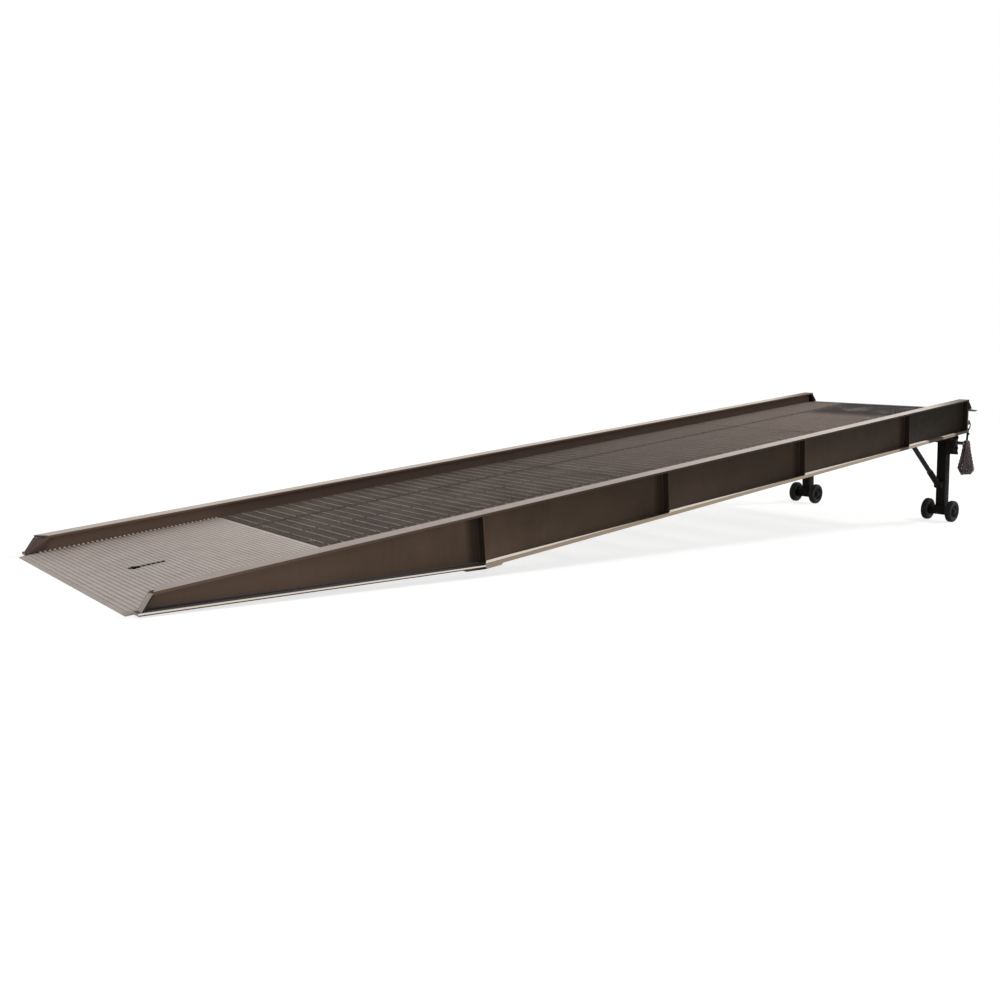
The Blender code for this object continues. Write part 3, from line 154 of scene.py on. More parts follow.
class Bench:
    """Starts a piece as a primitive and shapes it with Blender's operators."""

    @staticmethod
    def take(*pieces: Object) -> None:
        """Select only the given pieces, the first one active.

        Args:
            pieces: The pieces; without any, nothing stays selected.
        """
        bpy.ops.object.select_all(action="DESELECT")
        for piece in pieces:
            piece.select_set(True)
        bpy.context.view_layer.objects.active = pieces[0] if pieces else None

    @classmethod
    @contextmanager
    def editing(cls, piece: Object) -> Iterator[None]:
        """Keep one piece in edit mode for the length of a with block.

        Args:
            piece: The piece.

        Returns:
            Nothing within the block.
        """
        cls.take(piece)
        bpy.ops.object.mode_set(mode="EDIT")
        yield
        bpy.ops.object.mode_set(mode="OBJECT")

    @staticmethod
    def choose(piece: Object, pick: Pick, test: Callable[..., bool]) -> None:
        """Select the parts of a piece in edit mode that pass a test.

        Args:
            piece: The piece in edit mode.
            pick: Whether points, edges or faces are tested.
            test: Takes one of them and says whether it is wanted.
        """
        bpy.ops.mesh.select_mode(type=pick.value)
        bpy.ops.mesh.select_all(action="DESELECT")
        shape = bmesh.from_edit_mesh(piece.data)
        parts = {Pick.POINTS: shape.verts, Pick.EDGES: shape.edges, Pick.FACES: shape.faces}[pick]
        for part in parts:
            if test(part):
                part.select_set(True)
        shape.select_flush_mode()
        bmesh.update_edit_mesh(piece.data)

    @classmethod
    def shift(cls, piece: Object, test: Callable[..., bool], move: Sequence[float]) -> None:
        """Move the points of a piece in edit mode that pass a test."""
        cls.choose(piece, Pick.POINTS, test)
        bpy.ops.transform.translate(value=move)

    @classmethod
    def started(cls, name: str) -> Object:
        """Name the primitive that was just added and settle it at the origin.

        Args:
            name: Name of the piece.

        Returns:
            The piece.
        """
        piece = bpy.context.object
        piece.name = piece.data.name = name
        bpy.ops.object.transform_apply(location=True, rotation=True, scale=True)
        return piece

    @classmethod
    def block(cls, name: str, first: Triple, second: Triple) -> Object:
        """A block between two opposite corners.

        Args:
            name: Name of the piece.
            first: One corner.
            second: The opposite corner.

        Returns:
            The block.
        """
        low = Vector([min(pair) for pair in zip(first, second)])
        high = Vector([max(pair) for pair in zip(first, second)])
        cls.take()
        bpy.ops.mesh.primitive_cube_add(size=1.0, location=(low + high) / 2, scale=high - low)
        return cls.started(name)

    @classmethod
    def bar(cls, name: str, start: Triple, end: Triple, radius: float, sides: int = 16) -> Object:
        """A round bar, or a polygonal one with few sides, between two points.

        Args:
            name: Name of the piece.
            start: One end.
            end: The other end.
            radius: Radius over its corners.
            sides: Sides round it.

        Returns:
            The bar.
        """
        run = Vector(end) - Vector(start)
        middle = (Vector(end) + Vector(start)) / 2
        turn = run.to_track_quat("Z", "Y").to_euler()
        cls.take()
        bpy.ops.mesh.primitive_cylinder_add(
            vertices=sides, radius=radius, depth=run.length, location=middle, rotation=turn
        )
        return cls.started(name)

    @classmethod
    def turned(
        cls,
        name: str,
        section: Sequence[tuple[float, float]],
        centre: Triple,
        axis: Triple = (0.0, 1.0, 0.0),
        steps: int = 32,
    ) -> Object:
        """Spin a closed section about an axis.

        Args:
            name: Name of the piece.
            section: Corners in order, as radius and distance along the axis.
            centre: The point from which that distance is measured.
            axis: Direction of the axis.
            steps: Facets round the piece.

        Returns:
            The turned piece.
        """
        cls.take()
        bpy.ops.mesh.primitive_circle_add(vertices=len(section), radius=1.0, fill_type="NOTHING")
        piece = cls.started(name)
        for point, (radius, along) in zip(piece.data.vertices, section):
            point.co = (radius, 0.0, along)
        with cls.editing(piece):
            bpy.ops.mesh.select_all(action="SELECT")
            bpy.ops.mesh.spin(steps=steps, angle=2 * math.pi, center=(0, 0, 0), axis=(0, 0, 1))
            cls.close_up()
        turn = Vector(axis).to_track_quat("Z", "Y").to_matrix().to_4x4()
        piece.data.transform(Matrix.Translation(centre) @ turn)
        return piece

    @classmethod
    def collar(
        cls, name: str, centre: Triple, bore: float, outer: float, half: float, edge: float,
        axis: Triple = (0.0, 1.0, 0.0), steps: int = 28,
    ) -> Object:
        """A ring, or a disc if it has no bore, with its outer edges broken.

        Args:
            name: Name of the piece.
            centre: Its middle.
            bore: Radius of the bore.
            outer: Outer radius.
            half: Half its width.
            edge: Width of the broken edges.
            axis: Direction of its axis.
            steps: Facets round the piece.

        Returns:
            The ring.
        """
        section = [(bore, -half), (outer - edge, -half), (outer, edge - half),
                   (outer, half - edge), (outer - edge, half), (bore, half)]
        return cls.turned(name, section, centre, axis, steps)

    @staticmethod
    def mirrored(half: Sequence[tuple[float, float]]) -> list[tuple[float, float]]:
        """Half a section and its mirror image; a corner in the middle comes once."""
        return [*half, *((radius, -along) for radius, along in reversed(half) if along)]

    @staticmethod
    def close_up() -> None:
        """Merge doubles, drop loose edges and turn the faces outward, in edit mode."""
        bpy.ops.mesh.select_all(action="SELECT")
        bpy.ops.mesh.remove_doubles(threshold=1e-6)
        bpy.ops.mesh.delete_loose()
        bpy.ops.mesh.select_all(action="SELECT")
        bpy.ops.mesh.normals_make_consistent(inside=False)

    @classmethod
    def modify(cls, piece: Object, kind: str, **settings: object) -> Object:
        """Add a modifier with its settings and apply it.

        Args:
            piece: The piece.
            kind: Kind of modifier.
            settings: The modifier's settings.

        Returns:
            The same piece.
        """
        modifier = piece.modifiers.new(kind.lower(), kind)
        for key, value in settings.items():
            setattr(modifier, key, value)
        cls.take(piece)
        bpy.ops.object.modifier_apply(modifier=modifier.name)
        return piece

    @classmethod
    def row(cls, piece: Object, count: int, step: Triple, **more: object) -> Object:
        """Repeat a piece by a constant step."""
        return cls.modify(piece, "ARRAY", count=count, use_relative_offset=False,
                          use_constant_offset=True, constant_offset_displace=step, **more)

    @classmethod
    def smooth(cls, piece: Object, angle: float = 35.0) -> Object:
        """Shade a piece smooth apart from its sharp edges.

        Args:
            piece: The piece.
            angle: Degrees from which an edge counts as sharp.

        Returns:
            The same piece.
        """
        cls.take(piece)
        bpy.ops.object.shade_smooth_by_angle(angle=math.radians(angle))
        return piece

    @classmethod
    def ease(cls, piece: Object, width: float, segments: int = 2, angle: float = 30.0) -> Object:
        """Round a piece's sharp edges by a width.

        Args:
            piece: The piece.
            width: Width of the rounding.
            segments: Steps across the rounding.
            angle: Degrees from which an edge counts as sharp.

        Returns:
            The same piece.
        """
        cls.modify(
            piece, "BEVEL", width=width, segments=segments, limit_method="ANGLE",
            angle_limit=math.radians(angle), use_clamp_overlap=True,
        )
        return cls.smooth(piece)

    @classmethod
    def join(cls, name: str, pieces: Sequence[Object]) -> Object:
        """Join pieces into one.

        Args:
            name: Name of the piece.
            pieces: The pieces; the first one takes in the others.

        Returns:
            The joined piece.
        """
        cls.take(*pieces)
        if len(pieces) > 1:
            bpy.ops.object.join()
        pieces[0].name = pieces[0].data.name = name
        return pieces[0]

    @staticmethod
    def copy(piece: Object, move: Matrix) -> Object:
        """A copy of a piece with its own mesh, moved in its mesh.

        Args:
            piece: The piece.
            move: Where the copy's mesh is moved.

        Returns:
            The copy.
        """
        twin = piece.copy()
        twin.data = piece.data.copy()
        bpy.context.scene.collection.objects.link(twin)
        twin.data.transform(move)
        return twin

    @classmethod
    def soften(
        cls, node: str, name: str, width: float, reshape: Callable[[Object], None] | None = None
    ) -> Object:
        """A copy of a frame node with its sharp edges rounded.

        Args:
            node: The frame node that is copied.
            name: Name of the new piece.
            width: Width of the rounding.
            reshape: Shapes the copy in edit mode before the rounding.

        Returns:
            The piece, already in the world's frame.
        """
        cls.take(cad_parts[node])
        bpy.ops.object.duplicate()
        piece = bpy.context.object
        piece.name = piece.data.name = name
        piece.parent = None
        for key in [key for key in piece.keys() if key.startswith("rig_")]:
            del piece[key]
        if piece.data.has_custom_normals:
            bpy.ops.mesh.customdata_custom_splitnormals_clear()
        with cls.editing(piece):
            bpy.ops.mesh.select_all(action="SELECT")
            bpy.ops.mesh.remove_doubles(threshold=2e-5)
            bpy.ops.mesh.dissolve_limited(angle_limit=math.radians(0.6))
            if reshape:
                reshape(piece)
        return cls.ease(piece, width)

    @classmethod
    def weld(cls, name: str, start: Triple, end: Triple, radius: float, pitch: float) -> Object:
        """A rippled weld bead between two points.

        Args:
            name: Name of the piece.
            start: One end of the bead.
            end: The other end.
            radius: Radius at the top of a ripple.
            pitch: Length of a ripple.

        Returns:
            The bead, closed at both ends.
        """
        run = Vector(end) - Vector(start)
        count = max(2, round(run.length / pitch))
        step = run.length / count
        cls.take()
        bpy.ops.mesh.primitive_cylinder_add(vertices=6, radius=radius, depth=step,
                                            end_fill_type="NOTHING", location=(0, 0, step / 2))
        piece = cls.started(name)
        with cls.editing(piece):
            cls.choose(piece, Pick.EDGES, lambda edge: edge.calc_length() > 0.9 * step
                       and abs(edge.verts[0].co.z - edge.verts[1].co.z) > 0.5 * step)
            bpy.ops.mesh.subdivide(number_cuts=1)
            cls.choose(piece, Pick.POINTS, lambda point: abs(point.co.z - step / 2) > 0.3 * step)
            bpy.ops.transform.resize(value=(0.78, 0.78, 1.0), center_override=(0, 0, 0))
        cls.row(piece, count, (0.0, 0.0, step), use_merge_vertices=True, merge_threshold=1e-4)
        with cls.editing(piece):
            bpy.ops.mesh.select_mode(type="EDGE")
            bpy.ops.mesh.select_all(action="DESELECT")
            bpy.ops.mesh.select_non_manifold()
            bpy.ops.mesh.fill_holes(sides=0)
            bpy.ops.mesh.select_all(action="SELECT")
            bpy.ops.mesh.normals_make_consistent(inside=False)
        turn = run.to_track_quat("Z", "Y").to_matrix().to_4x4()
        piece.data.transform(Matrix.Translation(start) @ turn)
        return cls.smooth(piece, 60.0)

    @classmethod
    def hex_bolt(
        cls, name: str, foot: Triple, axis: Triple, radius: float, height: float
    ) -> Object:
        """A hexagon head on its washer.

        Args:
            name: Name of the piece.
            foot: Middle of the washer's seat.
            axis: The way the head points.
            radius: Radius over the head's corners.
            height: Height of washer and head together.

        Returns:
            The bolt head.
        """
        way = Vector(axis).normalized()
        seat = Vector(foot)
        washer = cls.bar(name + "_washer", seat, seat + way * height * 0.2, radius * 1.35, 20)
        head = cls.bar(name, seat + way * height * 0.19, seat + way * height, radius, 6)
        with cls.editing(head):
            cls.choose(head, Pick.FACES, lambda face: face.normal.dot(way) > 0.9)
            bpy.ops.mesh.inset(thickness=radius * 0.16)
            bpy.ops.transform.translate(value=tuple(way * height * 0.06))
        return cls.join(name, [head, washer])


class Tree:
    """Adds nodes to a node tree and links them as it goes."""

    def __init__(self, tree: bpy.types.NodeTree) -> None:
        """Take hold of a tree and clear it."""
        self.tree = tree
        tree.nodes.clear()

    def feed(self, value: object, socket: NodeSocket) -> None:
        """Link a socket, or give it a plain value or colour.

        Args:
            value: A socket, a colour or a plain value.
            socket: The input that takes it.
        """
        if isinstance(value, NodeSocket):
            self.tree.links.new(value, socket)
        elif isinstance(value, tuple) and socket.type == "RGBA":
            socket.default_value = (*value, 1.0)
        else:
            socket.default_value = value

    def add(
        self, kind: str, inputs: dict[str | int, object] | None = None, **settings: object
    ) -> Node:
        """Add a node, set it up and feed its inputs with sockets or plain values.

        Args:
            kind: Kind of node.
            inputs: What its inputs get, by name or place.
            settings: The node's settings.

        Returns:
            The node.
        """
        node = self.tree.nodes.new("ShaderNode" + kind)
        for key, value in settings.items():
            setattr(node, key, value)
        for key, value in (inputs or {}).items():
            self.feed(value, node.inputs[key])
        return node

    def number(self, operation: str, *values: object) -> NodeSocket:
        """The plain result of a Math node."""
        return self.add("Math", dict(enumerate(values)), operation=operation).outputs[0]

    def maths(self, operation: str, first: object, second: object) -> NodeSocket:
        """The result of a Math node, clamped to 0 to 1."""
        node = self.add("Math", {0: first, 1: second}, operation=operation, use_clamp=True)
        return node.outputs[0]

    def times(self, *shares: object) -> object:
        """Masks multiplied with each other."""
        return reduce(lambda first, second: self.maths("MULTIPLY", first, second), shares)

    def either(self, first: object, second: object) -> NodeSocket:
        """The stronger of two masks."""
        return self.maths("MAXIMUM", first, second)

    def rest(self, share: object) -> NodeSocket:
        """What a mask leaves free."""
        return self.maths("SUBTRACT", 1.0, share)

    def span(self, value: object, low: object, high: object) -> NodeSocket:
        """A value brought to 0 at low and to 1 at high."""
        return self.add("MapRange", {"Value": value, "From Min": low, "From Max": high}).outputs[0]

    def between(self, share: object, low: float, high: float) -> NodeSocket:
        """A number between low and high by a share of 0 to 1."""
        return self.add("MapRange", {"Value": share, "To Min": low, "To Max": high}).outputs[0]

    def cover(self, under: object, over: object, *shares: object) -> NodeSocket:
        """One colour over another by a mask, or by several masks multiplied."""
        shown = self.times(*shares)
        return self.add("Mix", {0: shown, 6: under, 7: over}, data_type="RGBA").outputs[2]

    def parts(self, kind: str) -> Sequence[NodeSocket]:
        """X, Y and Z of the Object place or of the Normal."""
        return self.add("SeparateXYZ", {0: self.add("TexCoord").outputs[kind]}).outputs

    def effect(self, name: str, **values: object) -> Sequence[NodeSocket]:
        """Place a shared node group with its own values and give its outputs.

        Args:
            name: Name of the group.
            values: What its inputs get, by name.

        Returns:
            The group's outputs.
        """
        node = self.tree.nodes.new("ShaderNodeGroup")
        node.node_tree = bpy.data.node_groups[name]
        for key, value in values.items():
            self.feed(value, node.inputs[key])
        return node.outputs

    def band(self, value: object, start: float, end: float, soft: float) -> NodeSocket:
        """A mask for a strip between two values, with soft sides."""
        return self.effect("Band", Value=value, Start=start, End=end, Soft=soft)[0]

    def blotches(self, size: object, low: float, high: float, shift: float = 0.0) -> NodeSocket:
        """A mask of soft uneven patches of a size; the shift gives other patches."""
        return self.effect("Blotches", Size=size, From=low, To=high, Shift=shift)[0]


class Effects:
    """The shared node groups: each maker takes a tree and the inputs, and gives the outputs."""

    @classmethod
    def build(cls) -> None:
        """Build every group."""
        mask = ("Mask",)
        for name, make, outputs, inputs in (
            ("Deck place", cls.deck_place, ("Along", "Across", "Above", "Left", "Over foot"), {}),
            ("Blotches", cls.blotches, mask, {"Size": 0.3, "From": 0.35, "To": 0.65, "Shift": 0.0}),
            ("Runs", cls.runs, mask, {"Width": 0.03, "Length": 0.8, "From": 0.5, "To": 0.75}),
            ("Dust", cls.dust, mask, {"Amount": 1.0, "Patch": 0.2, "Break": 0.5}),
            ("Worn edges", cls.worn_edges, mask, {"Width": 0.004, "Amount": 0.6, "Patch": 0.05}),
            ("Band", cls.band, mask, {"Value": 0.0, "Start": 0.0, "End": 1.0, "Soft": 0.001}),
            ("Relief", cls.relief, ("Height",), {"Fine": 0.004, "Broad": 0.06}),
        ):
            group = bpy.data.node_groups.new(name, "ShaderNodeTree")
            for way, titles in (("INPUT", inputs), ("OUTPUT", outputs)):
                for title in titles:
                    socket = group.interface.new_socket(
                        name=title, in_out=way, socket_type="NodeSocketFloat"
                    )
                    socket.default_value = inputs.get(title, 0.0)
            tree = Tree(group)
            given, out = (group.nodes.new("NodeGroup" + end) for end in ("Input", "Output"))
            made = make(tree, *given.outputs[:len(inputs)])
            for source, socket in zip(made, out.inputs):
                tree.feed(source, socket)

    @staticmethod
    def deck_place(tree: Tree) -> Sequence[NodeSocket]:
        """Place along, across and above the deck, the side, and the height over the foot.

        Args:
            tree: The group's tree.

        Returns:
            The five numbers in that order.
        """
        turned = tree.add("Mapping", {
            "Vector": tree.add("TexCoord").outputs["Object"],
            "Location": DECK.to_world.inverted().translation,
            "Rotation": (0.0, DECK.slope, 0.0),
        })
        along, beside, above = tree.add("SeparateXYZ", {0: turned.outputs[0]}).outputs
        tapered = tree.number("MINIMUM", along, 0.0)
        foot = tree.number("MULTIPLY_ADD", tapered, DECK.foot_rise, DECK.girder_depth)
        return (along, tree.number("ABSOLUTE", beside), above,
                tree.number("GREATER_THAN", beside, 0.0), tree.number("ADD", above, foot))

    @staticmethod
    def blotches(
        tree: Tree, size: NodeSocket, low: NodeSocket, high: NodeSocket, shift: NodeSocket
    ) -> Sequence[NodeSocket]:
        """Soft uneven patches of a given size.

        Args:
            tree: The group's tree.
            size: Size of the patches.
            low: Noise at which the mask is 0.
            high: Noise at which it is 1.
            shift: Shift that gives other patches.

        Returns:
            The mask.
        """
        spot = tree.add("TexCoord").outputs["Object"]
        moved = tree.add("VectorMath", {0: spot, 1: shift}, operation="ADD")
        scale = tree.number("DIVIDE", 1.0, size)
        noise = tree.add("TexNoise", {"Vector": moved.outputs[0], "Scale": scale,
                                      "Detail": 4.0, "Roughness": 0.6})
        return [tree.span(noise.outputs["Fac"], low, high)]

    @staticmethod
    def runs(
        tree: Tree, width: NodeSocket, length: NodeSocket, low: NodeSocket, high: NodeSocket
    ) -> Sequence[NodeSocket]:
        """Thin marks that rain leaves down an upright face.

        Args:
            tree: The group's tree.
            width: Width of a mark.
            length: Length of a mark.
            low: Noise at which the mask is 0.
            high: Noise at which it is 1.

        Returns:
            The mask.
        """
        sizes = zip(tree.parts("Object"), (width, width, length))
        spot = tree.add("CombineXYZ", {
            index: tree.number("DIVIDE", part, size) for index, (part, size) in enumerate(sizes)
        })
        noise = tree.add("TexNoise", {"Vector": spot.outputs[0], "Scale": 1.0, "Detail": 3.0})
        return [tree.span(noise.outputs["Fac"], low, high)]

    @staticmethod
    def dust(
        tree: Tree, amount: NodeSocket, patch: NodeSocket, broken: NodeSocket
    ) -> Sequence[NodeSocket]:
        """Dust and wear on faces that look up.

        Args:
            tree: The group's tree.
            amount: Strength of the mask.
            patch: Size of the patches.
            broken: How much the patches take away.

        Returns:
            The mask.
        """
        facing = tree.span(tree.parts("Normal")[2], 0.75, 0.97)
        bare = tree.times(tree.blotches(patch, 0.3, 0.7, 3.1), broken)
        return [tree.times(facing, tree.rest(bare), amount)]

    @staticmethod
    def worn_edges(
        tree: Tree, width: NodeSocket, amount: NodeSocket, patch: NodeSocket
    ) -> Sequence[NodeSocket]:
        """Edges rubbed bare, broken up by patches.

        Args:
            tree: The group's tree.
            width: Width of the wear.
            amount: Strength of the mask.
            patch: Size of the patches.

        Returns:
            The mask.
        """
        rounded = tree.add("Bevel", {"Radius": width}, samples=4)
        flat = tree.add("NewGeometry").outputs["Normal"]
        same = tree.add("VectorMath", {0: rounded.outputs[0], 1: flat}, operation="DOT_PRODUCT")
        edge = tree.span(same.outputs["Value"], 0.995, 0.86)
        return [tree.times(edge, tree.blotches(patch, 0.35, 0.6, 7.7), amount)]

    @staticmethod
    def band(
        tree: Tree, value: NodeSocket, start: NodeSocket, end: NodeSocket, soft: NodeSocket
    ) -> Sequence[NodeSocket]:
        """A strip between two values with soft sides.

        Args:
            tree: The group's tree.
            value: The value.
            start: Where the strip starts.
            end: Where it ends.
            soft: Width of its soft sides.

        Returns:
            The mask.
        """
        rise = tree.span(value, tree.number("SUBTRACT", start, soft), start)
        fall = tree.span(value, tree.number("ADD", end, soft), end)
        return [tree.times(rise, fall)]

    @staticmethod
    def relief(tree: Tree, fine: NodeSocket, broad: NodeSocket) -> Sequence[NodeSocket]:
        """Mill scale and paint skin as a fine uneven height."""
        small, large = tree.blotches(fine, 0.2, 0.8), tree.blotches(broad, 0.2, 0.8, 5.0)
        return [tree.number("MULTIPLY_ADD", small, 0.35, large)]


@dataclass(frozen=True)
class Steel:
    """Painted or bare steel with blotches, runs, dust, rust and worn edges."""

    name: str
    dark: Triple
    light: Triple
    dust: Triple = chip(150, 138, 128)
    edge: Triple = chip(150, 135, 122)
    rust: Triple = chip(92, 58, 40)
    dust_amount: float = 0.5
    edge_amount: float = 0.0
    edge_width: float = 0.004
    rust_amount: float = 0.25
    patch: float = 0.35
    rough: tuple[float, float] = (0.45, 0.65)
    metal: float = 0.0
    specular: float = 0.15
    bump: float = 0.12
    grain: float = 0.004

    def ground(self, tree: Tree) -> NodeSocket:
        """The coat itself, before dust and wear.

        Args:
            tree: The material's tree.

        Returns:
            The colour.
        """
        colour = tree.cover(self.dark, self.light, tree.blotches(self.patch, 0.3, 0.7, 1.3))
        fine = tree.blotches(self.grain * 3, 0.25, 0.75)
        colour = tree.cover(colour, self.dark, fine, 0.22)
        return tree.cover(colour, self.light, tree.effect("Runs", Width=0.025, Length=0.9)[0], 0.3)

    def wear(self, tree: Tree, colour: NodeSocket) -> NodeSocket:
        """Rust, dust and rubbed edges over the coat.

        Args:
            tree: The material's tree.
            colour: The colour so far.

        Returns:
            The colour.
        """
        spots = tree.blotches(0.045, 0.58, 0.72, 9.0)
        colour = tree.cover(colour, self.rust, spots, self.rust_amount)
        colour = tree.cover(colour, self.dust, tree.effect("Dust", Amount=self.dust_amount)[0])
        if not self.edge_amount:
            return colour
        edges = tree.effect("Worn edges", Width=self.edge_width, Amount=self.edge_amount)
        return tree.cover(colour, self.edge, edges[0])

    def material(self) -> Material:
        """The finished material.

        Returns:
            The material.
        """
        made = bpy.data.materials.new(self.name)
        made.use_nodes = True
        tree = Tree(made.node_tree)
        colour = self.wear(tree, self.ground(tree))
        dull = tree.blotches(0.08, 0.3, 0.7, 4.2)
        height = tree.effect("Relief", Fine=self.grain)[0]
        relief = tree.add("Bump", {"Strength": self.bump, "Distance": 0.001, "Height": height})
        shader = tree.add("BsdfPrincipled", {
            "Base Color": colour,
            "Roughness": tree.between(dull, *self.rough),
            "Metallic": self.metal,
            "Specular IOR Level": self.specular,
            "Normal": relief.outputs[0],
        })
        tree.add("OutputMaterial", {0: shader.outputs[0]}, is_active_output=True)
        made.diffuse_color = (*self.light, 1.0)
        return made


@dataclass(frozen=True)
class CurbSteel(Steel):
    """Brown girder steel: pale painted reflection on top, cream painted sunlight and tan on the
    foot, painted shade to the dock.
    """

    # Painted shade: a darker brown laid on the webs towards the dock end.
    dock: Triple = chip(34, 29, 24)
    # Painted light: a lighter brown laid on the webs near the nose and on the curbs' inner faces.
    inside: Triple = chip(124, 104, 92)
    # Painted shadow: dark brown for the strip of web just before each stiffener.
    corner: Triple = chip(33, 28, 25)
    nose: Triple = chip(88, 76, 78)
    front: Triple = chip(166, 154, 148)
    # Painted reflection: pale flange tops stand in for the sky's glancing reflection, palest in the
    # middle stretch, greyer at the dock end.
    top: Triple = chip(178, 165, 160)
    top_middle: Triple = chip(214, 204, 195)
    top_dock: Triple = chip(128, 125, 121)
    # Painted sunlight: cream for the lit top of the bottom flange; the tan edge is made brighter in
    # the lit stretches.
    foot_top: Triple = chip(250, 241, 229)
    foot_edge: Triple = chip(172, 155, 137)
    # Painted shade: dark blue-grey for the top of the tapered flange.
    taper_top: Triple = chip(88, 86, 90)
    # Stretches along the deck where the flange's top is painted as sunlit; elsewhere it is left in
    # painted shadow.
    rubbed_feet: tuple[Triple, ...] = ((0.0, 5.28, 0.06), (5.498, 5.88, 0.03), (6.22, 6.44, 0.04))

    def ground(self, tree: Tree) -> NodeSocket:
        """Brown with painted shade towards the dock end, and painted light near the nose and inside
        the curbs.

        Args:
            tree: The material's tree.

        Returns:
            The colour.
        """
        colour = super().ground(tree)
        along, across, _, left, over = tree.effect("Deck place")
        # Painted light: the webs lighten towards the nose.
        colour = tree.cover(colour, self.inside, tree.span(along, -0.6, -1.8), 0.4)
        # Painted shade: the webs darken towards the dock end, with a further painted shade band
        # from 0.3 to 1.9 m along the deck.
        colour = tree.cover(colour, self.dock, tree.span(along, -0.4, 2.6), 0.66)
        colour = tree.cover(colour, self.dock, tree.band(along, 0.3, 1.9, 0.4), 0.24)
        # Painted light: the curbs' inner faces are lightened where the flanges' overhang shades
        # them.
        colour = tree.cover(colour, self.inside, tree.band(across, 0.80, 0.93, 0.0008), 0.62)
        colour = tree.cover(colour, self.nose, tree.span(along, -2.10, -2.13), left, 0.6)
        # Painted shade: the outer web turns almost black past 5.45 m.
        late, outer = tree.span(along, 5.45, 5.6), tree.span(across, 0.934, 0.936)
        colour = tree.cover(colour, self.dock, late, outer, 0.9)
        facing, tip = tree.span(tree.parts("Normal")[0], -0.3, -0.5), tree.span(along, -2.09, -2.11)
        shown = tree.either(tree.rest(left), tree.span(over, 0.018, 0.016))
        return tree.cover(colour, self.front, facing, tip, shown)

    def wear(self, tree: Tree, colour: NodeSocket) -> NodeSocket:
        """Painted shadow beside the stiffeners, painted reflection on the flange tops and painted
        sunlight on the feet.

        Args:
            tree: The material's tree.
            colour: The colour so far.

        Returns:
            The colour.
        """
        colour = super().wear(tree, colour)
        along, across, above, left, over = tree.effect("Deck place")
        bays = tree.number("DIVIDE", tree.number("SUBTRACT", along, 0.003), DECK.bay)
        share = tree.number("FRACT", bays)
        # Painted shadow of each stiffener: a dark strip on the outer web just before it along the
        # deck.
        beside = tree.times(tree.span(share, 0.935, 0.968), tree.span(across, 0.937, 0.9385),
                            tree.span(above, -0.014, -0.017), tree.span(along, -0.4, -0.3))
        colour = tree.cover(colour, self.corner, beside, 0.75)
        # Painted reflection on the flange tops, paler in the middle stretch and on the left curb,
        # greyer at the dock end, broken by patches.
        pale = tree.cover(self.top, self.top_middle, tree.span(along, 1.2, 4.4))
        pale = tree.cover(pale, self.top_middle, left, 0.8)
        pale = tree.cover(pale, self.top_dock, tree.span(along, 6.0, 6.6))
        patches = tree.between(tree.blotches(0.25, 0.25, 0.75, 2.2), 0.8, 1.0)
        colour = tree.cover(colour, pale, tree.band(above, -0.0006, 0.01, 0.0004), patches)
        return self.feet(tree, colour, share, (along, across, over))

    def feet(
        self, tree: Tree, colour: NodeSocket, share: NodeSocket, place: Sequence[NodeSocket]
    ) -> NodeSocket:
        """Bottom flange: cream painted sunlight on its top in the lit stretches, tan edge brighter
        where lit, painted shade on the tapered part.

        Args:
            tree: The material's tree.
            colour: The colour so far.
            share: Place within the bay between two stiffeners, 0 to 1.
            place: Place along and across the deck, and height over the girder's foot.

        Returns:
            The colour with the flange's wear.
        """
        along, across, over = place
        level = tree.span(along, 0.004, 0.006)
        tapered = tree.rest(level)
        rise = tree.number("MULTIPLY_ADD", level, -DECK.foot_extra, over)
        first, second, third = (tree.band(along, *reach) for reach in self.rubbed_feet)
        sunlit = tree.either(tree.either(first, second), tree.times(third, 0.7))
        foot = tree.times(tree.band(over, 0.0152, 0.0290, 0.0006),
                          tree.span(across, 0.9375, 0.9385))
        # Painted shade on the top of the tapered flange.
        colour = tree.cover(colour, self.taper_top, foot, tapered, 0.85)
        rate = 1 / (DECK.flange_outer - DECK.web_outer)
        reach = tree.number("MULTIPLY_ADD", across, rate, -DECK.web_outer * rate)
        # Painted shadow of the next stiffener as a wedge: the shelf is painted sunlit only outside
        # it.
        lit = tree.span(tree.number("MULTIPLY_ADD", share, -1.15, reach), -0.05, 0.05)
        shelf = tree.times(tree.band(rise, 0.0152, 0.0200, 0.0005),
                           tree.span(across, 0.9445, 0.9465))
        colour = tree.cover(colour, self.foot_top, shelf, lit, sunlit, level)
        edge = tree.times(tree.band(across, 0.9948, 1.1, 0.0004),
                          tree.band(rise, -0.02, 0.0156, 0.0006))
        # The tan edge is brighter where the shelf is painted sunlit.
        colour = tree.cover(colour, self.foot_edge, edge, level, tree.between(sunlit, 0.12, 0.95))
        lip = tree.band(over, 0.0070, 0.0156, 0.0010)
        return tree.cover(colour, self.foot_top, edge, tapered, lip)


@dataclass(frozen=True)
class DeckSteel(Steel):
    """Steel of the gratings, paler up the ramp and with a dark patch near the dock."""

    paler: Triple = chip(158, 143, 134)
    scuff: Triple = chip(48, 43, 52)

    def wear(self, tree: Tree, colour: NodeSocket) -> NodeSocket:
        """Paler up the ramp, with the far mats' dark seam and a dark patch.

        Args:
            tree: The material's tree.
            colour: The colour so far.

        Returns:
            The colour.
        """
        colour = super().wear(tree, colour)
        along, across, _, left, _ = tree.effect("Deck place")
        colour = tree.cover(colour, self.paler, tree.span(along, 1.2, 5.6), 0.85)
        colour = tree.cover(colour, self.dark, tree.band(across, 0.418, 0.468, 0.008), left, 0.6)
        # A dark patch near the dock end.
        patch, reach = tree.blotches(0.30, 0.30, 0.46, 12.4), tree.band(along, 6.0, 6.9, 0.22)
        far = tree.times(left, tree.span(across, 0.36, 0.50))
        near = tree.times(tree.rest(left), tree.span(across, 0.62, 0.80))
        clear = tree.rest(tree.either(far, near))
        return tree.cover(colour, self.scuff, patch, reach, clear, 0.78)


